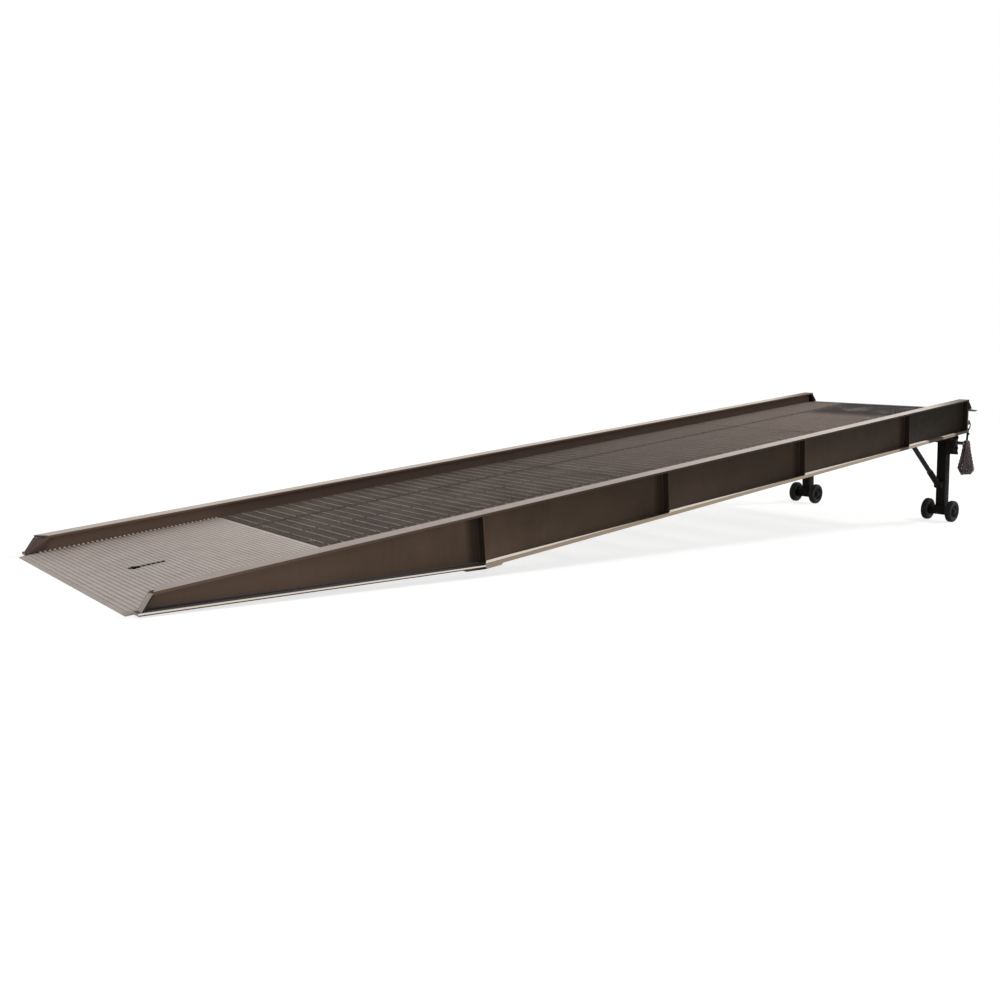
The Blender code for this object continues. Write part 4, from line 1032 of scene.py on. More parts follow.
@dataclass(frozen=True)
class PlateSteel(Steel):
    """Steel of the approach plate, painted pale as a reflection of the bright sky, with rubbed rib
    tops and dirt between its ribs.
    """

    rib_top: Triple = chip(178, 166, 159)
    worn: Triple = chip(190, 178, 170)
    # Painted shade: near-black for the nose plate's outer side edge and round the keyhole.
    grime: Triple = chip(24, 20, 19)
    keyhole: tuple[float, float, float] = (-1.900, -1.712, 0.036)

    def wear(self, tree: Tree, colour: NodeSocket) -> NodeSocket:
        """Dirt in the troughs, bright rubbed rib tops, a paler upper end and painted shade at the
        side edge and keyhole.

        Args:
            tree: The material's tree.
            colour: The colour so far.

        Returns:
            The colour.
        """
        colour = super().wear(tree, colour)
        along, across, above, _, _ = tree.effect("Deck place")
        ribs = tree.band(above, DECK.top - 0.0004, 0.0, 0.0008)
        rubbed = tree.between(tree.blotches(0.09, 0.25, 0.7, 8.8), 0.4, 0.9)
        colour = tree.cover(colour, self.rib_top, ribs, rubbed)
        colour = tree.cover(colour, self.dark, tree.band(across, 0.895, 1.0, 0.03), 0.45)
        # Paler towards the upper end of the plate.
        colour = tree.cover(colour, self.worn, tree.span(along, -1.7, -0.95), 0.5)
        # Painted shade: a dark line on the nose plate's outer side edge, where the web behind lies
        # in shadow.
        colour = tree.cover(colour, self.grime, tree.span(across, 0.9940, 0.9946))
        # Painted shade in and round the keyhole.
        return tree.cover(colour, self.grime, self.keyhole_grime(tree, along, across))

    def keyhole_grime(self, tree: Tree, along: NodeSocket, across: NodeSocket) -> NodeSocket:
        """Painted shade round the keyhole and along its slot, making the hole look dark and the
        slot wide, as a mask.

        Args:
            tree: The material's tree.
            along: Place along the deck.
            across: Distance from the deck's middle.

        Returns:
            The mask.
        """
        middle, end, radius = self.keyhole
        slot = tree.times(tree.band(along, middle, end, 0.012), tree.span(across, 0.0250, 0.0190))
        spot = tree.add("CombineXYZ", {0: tree.number("SUBTRACT", along, middle), 1: across})
        distance = tree.add("VectorMath", {0: spot.outputs[0]}, operation="LENGTH")
        ring = tree.span(distance.outputs["Value"], radius + 0.004, radius)
        return tree.times(tree.either(slot, ring), 0.92)


@dataclass(frozen=True)
class TyreRubber(Steel):
    """Black rubber with a paler scuffed band on its side."""

    band: Triple = chip(74, 74, 79)

    def wear(self, tree: Tree, colour: NodeSocket) -> NodeSocket:
        """Dust, and a scuffed band on each side of the tyre.

        Args:
            tree: The material's tree.
            colour: The colour so far.

        Returns:
            The colour.
        """
        colour = super().wear(tree, colour)
        facing = tree.span(tree.number("ABSOLUTE", tree.parts("Normal")[1]), 0.8, 0.99)
        scuffed = tree.between(tree.blotches(0.03, 0.3, 0.65, 1.9), 0.2, 0.6)
        return tree.cover(colour, self.band, facing, scuffed)


class Finish(Enum):
    """Every finish on the ramp."""

    CURB = CurbSteel("curb_brown_steel", chip(82, 67, 56), chip(96, 79, 66), dust_amount=0.0,
                     edge=chip(104, 90, 80), edge_amount=0.2, rust_amount=0.15,
                     rough=(0.6, 0.75), specular=0.045)
    # Painted reflection: the plate's pale colours stand in for the bright sky that it reflects at a
    # glancing angle.
    APPROACH = PlateSteel("approach_pale_steel", chip(150, 138, 132), chip(172, 160, 153),
                          dust=chip(174, 162, 154), dust_amount=0.3, rust_amount=0.12,
                          patch=0.22, specular=0.3)
    UNDERSIDE = Steel("underside_steel", chip(40, 34, 30), chip(54, 45, 39), rust_amount=0.45,
                      edge_amount=0.5, dust_amount=0.2, specular=0.1)
    BEARING = DeckSteel("grating_bar_steel", chip(90, 80, 73), chip(122, 110, 101),
                        dust=chip(146, 134, 125), grain=0.003)
    # Painted highlight: near-white dust on the rods' up-facing faces stands in for the glints on
    # the twisted tops.
    CROSS_ROD = DeckSteel("cross_rod_steel", chip(104, 94, 87), chip(134, 123, 115),
                          dust=chip(236, 226, 214), dust_amount=1.0, rust_amount=0.1,
                          grain=0.003, specular=0.2)
    LIP = Steel("lip_dark_steel", chip(52, 48, 46), chip(74, 69, 66), dust=chip(150, 143, 138),
                dust_amount=0.55)
    LEG = Steel("leg_dark_steel", chip(21, 18, 16), chip(28, 25, 23), dust=chip(38, 35, 32),
                dust_amount=0.2, edge=chip(56, 51, 47), edge_amount=0.3, rust_amount=0.12,
                specular=0.04)
    IRON = Steel("wheel_cast_iron", chip(26, 25, 25), chip(38, 37, 37), dust=chip(56, 53, 51),
                 edge=chip(76, 73, 72), edge_amount=0.5, grain=0.002, bump=0.3, rough=(0.55, 0.8))
    RUBBER = TyreRubber("tyre_rubber", chip(28, 27, 27), chip(37, 36, 36), dust=chip(56, 53, 51),
                        rust_amount=0.0, rough=(0.7, 0.9))
    BRIGHT = Steel("oiled_pin_steel", chip(62, 58, 54), chip(92, 87, 82), dust=chip(80, 74, 68),
                   dust_amount=0.3, edge_amount=0.2, rust_amount=0.15, rough=(0.3, 0.45),
                   metal=0.8, specular=0.4, bump=0.04)
    RAM_ROD = Steel("ram_rod_steel", chip(22, 19, 17), chip(32, 29, 26), dust=chip(40, 36, 33),
                    dust_amount=0.2, edge_amount=0.1, rust_amount=0.05, rough=(0.35, 0.5),
                    specular=0.08, bump=0.03)
    CHAIN = Steel("chain_grey_steel", chip(74, 63, 64), chip(116, 103, 104),
                  dust=chip(134, 123, 122), dust_amount=0.3, rust_amount=0.3, metal=0.1,
                  patch=0.04, specular=0.25)
    # Painted highlight: the tacks are near-white so that they stay bright in the curbs' shade.
    WELD = Steel("bright_tack_steel", chip(214, 203, 193), chip(245, 238, 229), dust_amount=0.0,
                 rust_amount=0.1, patch=0.2, rough=(0.4, 0.6), specular=0.4)
    ROOT = Steel("stiffener_root_steel", chip(36, 31, 27), chip(66, 57, 50), dust_amount=0.0,
                 patch=0.1)
    SEAM = Steel("painted_seam_steel", chip(60, 48, 41), chip(74, 60, 51), dust_amount=0.0,
                 patch=0.1, specular=0.06)
    PUMP = Steel("pump_red_paint", chip(104, 38, 32), chip(132, 50, 41), dust=chip(120, 90, 80),
                 edge=chip(110, 104, 98), dust_amount=0.4, edge_amount=0.7, rough=(0.35, 0.5),
                 specular=0.45)
    GRIP = Steel("grip_rubber", chip(26, 25, 25), chip(36, 35, 34), rust_amount=0.0,
                 rough=(0.75, 0.9), specular=0.25, grain=0.002, bump=0.4)

    @property
    def made(self) -> Material:
        """The material, built the first time it is asked for."""
        return bpy.data.materials.get(self.value.name) or self.value.material()


class Fitter:
    """Lays finished pieces in the world, dresses them and fixes them to their bodies."""

    @staticmethod
    def fix(
        piece: Object, body: str, slot: str, finish: Finish, stands_for: Sequence[str] = (),
        laid: bool = False,
    ) -> None:
        """Finish a piece.

        Args:
            piece: The piece, with its place in its mesh.
            body: The body that carries it.
            slot: The record's material slot; not used.
            finish: Its material.
            stands_for: The frame nodes that it replaces.
            laid: Whether its mesh is already in the world's frame.
        """
        if not laid:
            piece.data.transform(DECK.to_world)
        piece.data.materials.clear()
        piece.data.materials.append(finish.made)
        if stands_for:
            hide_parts(*stands_for)
        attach(piece, body)
        log.info("%s: %s, %d faces", piece.name, body, len(piece.data.polygons))

    @classmethod
    def soften(
        cls, node: str, name: str, width: float, body: str, slot: str, finish: Finish,
        reshape: Callable[[Object], None] | None = None,
    ) -> None:
        """Put a copy with rounded edges in a frame node's place."""
        cls.fix(Bench.soften(node, name, width, reshape), body, slot, finish, (node,), laid=True)

    @staticmethod
    def dress(node: str, finish: Finish) -> None:
        """Give a frame node that stays its finished material.

        Args:
            node: The frame node.
            finish: Its material.
        """
        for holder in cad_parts[node].material_slots:
            holder.material = finish.made
        log.info("%s keeps its solid", node)


@dataclass
class Curbs:
    """The two plate girders, with their end wedges, wear plates and welds."""

    stiffeners: tuple[float, ...] = (0.0, 1.8288, 3.6576, 5.4864, 6.714)
    stiffener_thick: float = 0.010
    edge_round: float = 0.0018
    bead: float = 0.0055
    seam_ripple: float = 0.020
    root_ripple: float = 0.010
    root_inset: float = 0.022
    nose_lean: float = 0.0652
    wedge_lean: float = 0.074

    def build(self) -> None:
        """Build both curbs."""
        for side in Side:
            self.solids(side)
            self.seams(side)
            self.roots(side)
            self.end_plates(side)

    def solids(self, side: Side) -> None:
        """Girder, wedge and wear plate with their edges rounded.

        Args:
            side: The side of the ramp.
        """
        for node, word, reshape in (("girder", "curb_girder", self.thicken),
                                    ("curb_end", "curb_end_wedge", None),
                                    ("wear_plate", "kink_wear_plate", None)):
            Fitter.soften(f"{node}_{side.label}", f"{word}_{side.label}", self.edge_round,
                          "ramp", "curb_steel", Finish.CURB, reshape)

    @staticmethod
    def thicken(piece: Object) -> None:
        """Give the level bottom flange its rolled thickness by raising its top, in edit mode.

        Args:
            piece: The piece.
        """
        start = 0.005
        level = DECK.to_world.inverted()
        shelf = -DECK.girder_depth + DECK.flange_thick
        bpy.ops.mesh.select_all(action="SELECT")
        bpy.ops.mesh.bisect(plane_co=DECK.to_world @ Vector((start, 0.0, 0.0)),
                            plane_no=DECK.turned(1.0, 0.0, 0.0))

        def on_shelf(point: bmesh.types.BMVert) -> bool:
            """Whether a point lies on top of the level part of the flange."""
            spot = level @ point.co
            return abs(spot.z - shelf) < 1e-3 and spot.x > start - 1e-4

        Bench.shift(piece, on_shelf, DECK.turned(0.0, 0.0, DECK.foot_extra))

    def end_plates(self, side: Side) -> None:
        """Sloping plate that closes the nose outside the web, and wedge at the dock end.

        Args:
            side: The side of the ramp.
        """
        sign, head, low = side.value, -DECK.flange_thick + 0.0002, DECK.top + 0.0002
        nose = Bench.block(f"curb_nose_plate_{side.label}",
                           (DECK.nose + 0.0172, sign * 0.9388, -DECK.nose_depth + 0.0155),
                           (DECK.nose + 0.0297, sign * 0.9956, head))
        with Bench.editing(nose):
            Bench.shift(nose, lambda point: point.co.z > head - 1e-4, (self.nose_lean, 0.0, 0.0))
        # The near nose plate takes the approach plate's pale finish, with its painted reflection.
        finish = Finish.APPROACH if side is Side.RIGHT else Finish.CURB
        Fitter.fix(Bench.ease(nose, 0.0006), "ramp", "approach_steel", finish)
        wedge = Bench.block(f"curb_dock_wedge_{side.label}", (6.7342, sign * 0.8888, low),
                            (6.7494, sign * 0.9952, head))
        with Bench.editing(wedge):
            Bench.shift(wedge, lambda point: point.co.z < low + 1e-3 and point.co.x > 6.745,
                        (self.wedge_lean, 0.0, 0.0))
        Fitter.fix(Bench.ease(wedge, 0.001), "ramp", "curb_steel", Finish.LEG)

    def seams(self, side: Side) -> None:
        """Long welds between web and flanges, outside and inside.

        Args:
            side: The side of the ramp.
        """
        web, under, shelf = DECK.web_outer, -DECK.flange_thick, DECK.flange_thick
        nose, tip, end = DECK.nose + 0.12, DECK.nose + 0.02, DECK.level_length - 0.005
        runs = [(web, (nose, under), (end, under)),
                (web, (0.0, DECK.low_edge(0.0) + shelf), (end, DECK.low_edge(0.0) + shelf)),
                (web, (tip, DECK.low_edge(tip) + shelf), (0.0, DECK.low_edge(0.0) + shelf)),
                (DECK.half_width, (nose, under), (end, under))]
        beads = []
        for across, *ends in runs:
            spots = [(x, side.value * across, z) for x, z in ends]
            beads.append(Bench.weld("seam", *spots, self.bead, self.seam_ripple))
        piece = Bench.join(f"flange_seams_{side.label}", beads)
        Fitter.fix(piece, "ramp", "curb_steel", Finish.SEAM)

    def roots(self, side: Side) -> None:
        """Short worn welds round the foot of each stiffener.

        Args:
            side: The side of the ramp.
        """
        beads = []
        y, outer = side.value * DECK.web_outer, side.value * (DECK.flange_outer - 0.008)
        low, high = self.root_inset - DECK.girder_depth, -self.root_inset
        for x in self.stiffeners:
            for face in (x, x + self.stiffener_thick):
                beads.append(Bench.weld("root", (face, y, low), (face, y, high),
                                        self.bead, self.root_ripple))
                for z in (low - 0.006, high + 0.006):
                    beads.append(Bench.weld("root", (face, y, z), (face, outer, z),
                                            self.bead * 0.8, self.root_ripple))
        piece = Bench.join(f"stiffener_welds_{side.label}", beads)
        Fitter.fix(piece, "ramp", "curb_steel", Finish.ROOT)


@dataclass
class Floorwork:
    """Approach plate, gratings and the members under them.

    Each panel is two mats of bars side by side, with a seam between them.
    """

    seam_places: tuple[float, ...] = (-0.9144, 1.8288, 4.572, 6.734)
    seam_gap: float = 0.002
    inner: float = 0.015
    outer: float = 0.925
    bar_thick: float = 0.0048
    bar_depth: float = 0.032
    bar_pitch: float = 0.0305
    recess: float = 0.008
    band_drop: float = 0.008
    tooth: float = 0.030
    tooth_drop: float = 0.0016
    rod_start: float = 0.0715
    rod_pitch: float = 0.099
    rod_size: float = 0.0062
    rod_turns: float = 7.0
    rod_cuts: int = 71
    clip_places: tuple[tuple[float, float], ...] = ((0.047, 0.317), (0.060, 0.855))
    clip_half: tuple[float, float] = (0.015, 0.021)
    clip_drop: float = 0.0012
    middle: float = 0.4435
    middle_gap: float = 0.030
    rib_first: float = -2.26665
    rib_pitch: float = 0.0307
    rib_count: int = 44
    tack: float = 0.013

    def build(self) -> None:
        """Build the deck."""
        Fitter.dress("approach_plate", Finish.APPROACH)
        self.rib_tacks()
        for number in range(1, 9):
            Fitter.dress(f"joist_{number}", Finish.UNDERSIDE)
        for node in ("end_beam", "ram_beam"):
            Fitter.dress(node, Finish.UNDERSIDE)
        for side in Side:
            for index in range(len(self.seam_places) - 1):
                self.panel(side, index)

    def rib_tacks(self) -> None:
        """Welds that hold the plate's edge to the webs beside the ribs, one for each."""
        for side in Side:
            y = side.value * 0.9245
            first = (self.rib_first + 3 * self.rib_pitch, y, DECK.top - 0.0015)
            bead = Bench.weld("tack", first, (first[0] + self.tack, y, first[2]), 0.0058, 0.006)
            Bench.row(bead, self.rib_count - 3, (self.rib_pitch, 0.0, 0.0))
            bead.name = bead.data.name = f"plate_edge_tacks_{side.label}"
            Fitter.fix(bead, "ramp", "approach_steel", Finish.WELD)

    def panel(self, side: Side, index: int) -> None:
        """One grating panel: toothed bearing bars, end bands and twisted cross rods.

        Args:
            side: The side that the panel lies on.
            index: Its place along the deck, from the low end.
        """
        low = self.seam_places[index] + self.seam_gap
        high = self.seam_places[index + 1] - self.seam_gap
        label = f"{side.label}_{index + 1}"
        mats = ((self.inner, self.middle - self.middle_gap / 2),
                (self.middle + self.middle_gap / 2, self.outer))
        bars = [part for mat in mats for part in self.bearing_bars(side, low, high, mat)]
        piece = Bench.join(f"bearing_bars_{label}", bars)
        Fitter.fix(piece, "ramp", "grating_steel", Finish.BEARING, (f"grating_{label}",))
        rods = [self.cross_rods(side, low, high, mat) for mat in mats]
        piece = Bench.join(f"cross_rods_{label}", rods)
        Fitter.fix(piece, "ramp", "grating_steel", Finish.CROSS_ROD)
        self.clips(side, low, high, label)

    def clips(self, side: Side, low: float, high: float, label: str) -> None:
        """Saddle clips with a bolt each, which hold a panel down on its joists.

        Args:
            side: The side of the ramp.
            low: Where the panel starts along the deck.
            high: Where it ends.
            label: The panel's word in piece names.
        """
        spots = [(low + along, across) for along, across in self.clip_places]
        spots += [(low + (high - low) * (index + 0.5) / 3, self.middle) for index in range(3)]
        x, y, z = spots[0][0], side.value * spots[0][1], DECK.top
        half_length, half_width = self.clip_half
        strap = Bench.block("clip", (x - half_length, y - half_width, z - 0.0004),
                            (x + half_length, y + half_width, z + 0.0022))
        with Bench.editing(strap):
            Bench.choose(strap, Pick.FACES, lambda face: face.normal.z > 0.9)
            bpy.ops.mesh.inset(thickness=0.006)
            bpy.ops.transform.translate(value=(0.0, 0.0, -self.clip_drop))
        Bench.ease(strap, 0.0005, 1)
        bolt = Bench.hex_bolt("clip_bolt", (x, y, z + 0.0009), (0.0, 0.0, 1.0), 0.0062, 0.0072)
        clips = [Bench.join("clip", [strap, bolt])]
        for along, across in spots[1:]:
            move = Matrix.Translation((along - x, side.value * across - y, 0.0))
            clips.append(Bench.copy(clips[0], move))
        piece = Bench.smooth(Bench.join(f"saddle_clips_{label}", clips))
        Fitter.fix(piece, "ramp", "grating_steel", Finish.BEARING)

    def bearing_bars(
        self, side: Side, low: float, high: float, mat: tuple[float, float]
    ) -> list[Object]:
        """Flat bars on edge with toothed tops, and the bands across their ends.

        Args:
            side: The side of the deck.
            low: Where the mat starts along the deck.
            high: Where it ends.
            mat: Its nearest and farthest distance from the middle of the deck.

        Returns:
            The bars as one piece, and the two bands.
        """
        near, far = side.value * mat[0], side.value * mat[1]
        count = round((mat[1] - mat[0]) / self.bar_pitch) + 1
        step = (mat[1] - mat[0] - self.bar_thick) / (count - 1)
        floor = DECK.top - self.bar_depth
        bar = Bench.block("bearing_bar", (low + self.recess, near, floor),
                          (high - self.recess, near + side.value * self.bar_thick, DECK.top))
        cuts = min(100, round((high - low) / self.tooth) - 1)
        pitch = (high - low - 2 * self.recess) / (cuts + 1)
        with Bench.editing(bar):
            Bench.choose(bar, Pick.EDGES, lambda edge: edge.calc_length() > 1.0)
            bpy.ops.mesh.subdivide(number_cuts=cuts)
            Bench.shift(bar, lambda point: point.co.z > DECK.top - 1e-4
                        and round((point.co.x - low - self.recess) / pitch) % 2 == 1,
                        (0.0, 0.0, -self.tooth_drop))
        Bench.row(bar, count, (0.0, side.value * step, 0.0))
        bands = []
        for x in (low + self.recess, high - self.recess - self.bar_thick):
            band = Bench.block("end_band", (x, near, floor + 0.0002),
                               (x + self.bar_thick, far, DECK.top - self.band_drop))
            bands.append(Bench.ease(band, 0.0006, 1))
        return [bar, *bands]

    def cross_rods(self, side: Side, low: float, high: float, mat: tuple[float, float]) -> Object:
        """Twisted square rods across a mat's bars, flush with their tops.

        Args:
            side: The side of the ramp.
            low: Where the panel starts along the deck.
            high: Where it ends.
            mat: Nearest and farthest distance of the mat from the deck's middle.

        Returns:
            The rods as one piece.
        """
        half = self.rod_size / 2
        length = mat[1] - mat[0] - 0.004
        rod = Bench.block("cross_rod", (-half, -length / 2, -half), (half, length / 2, half))
        with Bench.editing(rod):
            Bench.choose(rod, Pick.EDGES, lambda edge: edge.calc_length() > 0.3)
            bpy.ops.mesh.subdivide(number_cuts=self.rod_cuts)
        Bench.modify(rod, "SIMPLE_DEFORM", deform_method="TWIST", deform_axis="Y",
                     angle=self.rod_turns * 2 * math.pi)
        middle = side.value * (mat[0] + mat[1]) / 2
        height = DECK.top - half * 1.2
        rod.data.transform(Matrix.Translation((low + self.rod_start, middle, height)))
        count = int((high - low - self.rod_start - self.recess) / self.rod_pitch) + 1
        Bench.row(rod, count, (self.rod_pitch, 0.0, 0.0))
        return Bench.smooth(rod, 20.0)


@dataclass
class DockEnd:
    """End plate with its pad eyes, and the lip."""

    edge_round: float = 0.0015
    weld_place: float = 6.7465
    weld_half: float = 0.94
    weld_drop: float = 0.0165
    lip_edge: float = 6.9
    lip_droop: Triple = (-0.0016, 0.0, -0.010)

    def build(self) -> None:
        """Build the end plate, the lip and the weld between them."""
        Fitter.soften("end_plate", "dock_end_plate", self.edge_round, "ramp",
                      "underside_steel", Finish.UNDERSIDE)
        Fitter.soften("lip_plate", "dock_lip", self.edge_round, "ramp", "approach_steel",
                      Finish.LIP, self.droop)
        ends = [(self.weld_place, y, DECK.top - self.weld_drop)
                for y in (-self.weld_half, self.weld_half)]
        bead = Bench.weld("lip_weld", *ends, 0.006, 0.015)
        Fitter.fix(bead, "ramp", "underside_steel", Finish.SEAM)

    def droop(self, piece: Object) -> None:
        """Let the lip's outer edge hang a little lower, in edit mode.

        Args:
            piece: The piece.
        """
        level = DECK.to_world.inverted()
        Bench.shift(piece, lambda point: (level @ point.co).x > self.lip_edge,
                    DECK.turned(*self.lip_droop))


@dataclass
class Undercarriage:
    """Brackets, pins, legs, cross tube, axles and wheels."""

    edge_round: float = 0.002
    bracket_outer: float = 0.955
    pin_radius: float = 0.0175
    pin_reach: float = 0.0844
    wheel_offset: float = 0.1324
    wheel_radius: float = 0.1155
    half_width: float = 0.025
    rim: float = 0.070
    hub: float = 0.034
    axle_radius: float = 0.016
    bolt_circle: float = 0.048
    bolt_count: int = 5
    collar: float = 0.026
    collar_edge: float = 0.0015
    collar_thick: float = 0.0115
    nut_thick: float = 0.016
    leg_half: float = 0.048
    tube_half: float = 0.040
    tube_rise: float = 0.036
    foot_drop: float = 0.6877
    ear_drop: float = 0.458
    ear_half: float = 0.043
    ear_faces: tuple[float, ...] = (-0.0355, -0.0255, 0.0255, 0.0355)
    ear_bead: float = 0.004
    bead: float = 0.005
    ripple: float = 0.009

    def build(self) -> None:
        """Build both sides and the tube between them."""
        Fitter.soften("cross_tube", "leg_cross_tube", self.edge_round, "undercarriage",
                      "leg_steel", Finish.LEG)
        for side in Side:
            self.solids(side)
            self.pin(side)
            self.axle(side)
            self.leg_welds(side)
            for word, offset in (("inner", -self.wheel_offset), ("outer", self.wheel_offset)):
                self.wheel(side, word, side.value * (DECK.leg_offset + offset))

    def solids(self, side: Side) -> None:
        """Bracket, leg and axle housing with rounded edges.

        Args:
            side: The side of the ramp.
        """
        for node, word, body in (("pivot_bracket", "pivot_bracket_block", "ramp"),
                                 ("leg", "square_leg", "undercarriage"),
                                 ("axle_housing", "axle_box", "undercarriage")):
            Fitter.soften(f"{node}_{side.label}", f"{word}_{side.label}", self.edge_round,
                          body, "leg_steel", Finish.LEG)

    def pin(self, side: Side) -> None:
        """Pivot pin with its collar, and a split pin through its rounded end.

        Args:
            side: The side of the ramp.
        """
        sign = side.value
        x, z = DECK.pivot
        start = DECK.leg_offset - self.leg_half + 0.0006
        head = self.bracket_outer + 0.0004
        end = head + self.pin_reach
        r, wide, edge = self.pin_radius, self.collar, self.collar_edge
        back = head + self.collar_thick
        section = [(0.0, start), (r - 0.002, start), (r, start + 0.002), (r, head),
                   (wide - edge, head), (wide, head + edge), (wide, back - edge),
                   (wide - edge, back), (r, back), (r, end - 0.004),
                   (r - 0.001, end - 0.001), (r - 0.004, end), (0.0, end)]
        pin = Bench.turned("pin", section, (x, 0.0, z), (0.0, sign, 0.0), 28)
        split = Bench.bar("split_pin", (x, sign * (end - 0.012), z - r - 0.007),
                          (x, sign * (end - 0.012), z + r + 0.005), 0.0024, 8)
        piece = Bench.smooth(Bench.join(f"pivot_pin_turned_{side.label}", [pin, split]))
        Fitter.fix(piece, "ramp", "bright_steel", Finish.BRIGHT, (f"pivot_pin_{side.label}",))

    def axle(self, side: Side) -> None:
        """Axle with a collared, rounded end on each side.

        Args:
            side: The side of the ramp.
        """
        x, z = DECK.axle
        r, wide, edge = self.axle_radius, self.collar, self.collar_edge
        end = self.wheel_offset + self.half_width + 0.0005
        nut = end + self.nut_thick
        section = Bench.mirrored([
            (r, end), (wide - edge, end), (wide, end + edge), (wide, nut - 0.003),
            (0.023, nut - 0.0005), (0.014, nut - 0.0005), (0.012, nut), (0.0, nut),
        ])
        centre = (x, side.value * DECK.leg_offset, z)
        piece = Bench.smooth(Bench.turned(f"wheel_axle_{side.label}", section, centre, steps=28))
        Fitter.fix(piece, "undercarriage", "bright_steel", Finish.IRON, (f"axle_{side.label}",))

    def wheel(self, side: Side, word: str, y: float) -> None:
        """One wheel: a cast hub with bolts and a solid tyre.

        Args:
            side: The side of the ramp.
            word: Inner or outer, for the piece names.
            y: The wheel's middle across the ramp.
        """
        label = f"{side.label}_{word}"
        body = f"wheel_{label}"
        x, z = DECK.axle
        half, rim, hub = self.half_width, self.rim, self.hub
        bore = self.axle_radius + 0.0012
        inner = rim - 0.009
        face = [(bore, half), (hub - 0.002, half), (hub, half - 0.002), (hub + 0.001, 0.010),
                (hub + 0.004, 0.008), (inner - 0.004, 0.008), (inner, 0.011),
                (inner, half - 0.002), (inner + 0.002, half), (rim, half)]
        bolts = [Bench.turned("hub", Bench.mirrored(face), (x, y, z), steps=40)]
        outward = 1.0 if (y > 0) == (word == "outer") else -1.0
        for index in range(self.bolt_count):
            angle = 2 * math.pi * (index + 0.25) / self.bolt_count
            spot = (x + self.bolt_circle * math.cos(angle), y + outward * 0.0078,
                    z + self.bolt_circle * math.sin(angle))
            bolts.append(Bench.hex_bolt("hub_bolt", spot, (0.0, outward, 0.0), 0.0062, 0.008))
        piece = Bench.smooth(Bench.join(f"cast_hub_{label}", bolts))
        Fitter.fix(piece, body, "wheel_iron", Finish.IRON, (f"hub_{label}",))
        r, seat = self.wheel_radius, rim + 0.0003
        section = Bench.mirrored([
            (seat, 0.0236), (seat + 0.003, 0.0262), (0.080, 0.0298), (0.090, 0.0318),
            (0.0935, 0.0306), (0.1045, 0.0294), (0.1105, 0.0250), (0.1142, 0.0185),
            (r, 0.0115), (r, 0.0),
        ])
        tyre = Bench.smooth(Bench.turned(f"solid_tyre_{label}", section, (x, y, z), steps=56), 50.0)
        Fitter.fix(tyre, body, "wheel_tread", Finish.RUBBER, (f"tyre_{label}",))

    def leg_welds(self, side: Side) -> None:
        """Beads round the foot plate, the ram's ears and the cross tube.

        Args:
            side: The side of the ramp.
        """
        x, z = DECK.pivot
        y = side.value * DECK.leg_offset
        half, tube = self.leg_half, self.tube_half
        inner = y - side.value * half
        square = ((-1, -1), (1, -1), (1, 1), (-1, 1))
        foot = [(x + a * half, y + b * half, z - self.foot_drop) for a, b in square]
        ring = [(x + a * tube, inner, z + self.tube_rise + b * tube) for a, b in square]
        beads = [Bench.weld("bead", foot[index - 1], foot[index], self.bead, self.ripple)
                 for index in (1, 2, 3, 0)]
        ear = z - self.ear_drop
        for offset in self.ear_faces:
            beads.append(Bench.weld("bead", (x - half, y + offset, ear - self.ear_half),
                                    (x - half, y + offset, ear + self.ear_half),
                                    self.ear_bead, self.ripple))
        beads += [Bench.weld("bead", ring[index - 1], ring[index], self.bead, self.ripple)
                  for index in (1, 2, 3, 0)]
        piece = Bench.join(f"leg_welds_{side.label}", beads)
        Fitter.fix(piece, "undercarriage", "leg_steel", Finish.LEG)


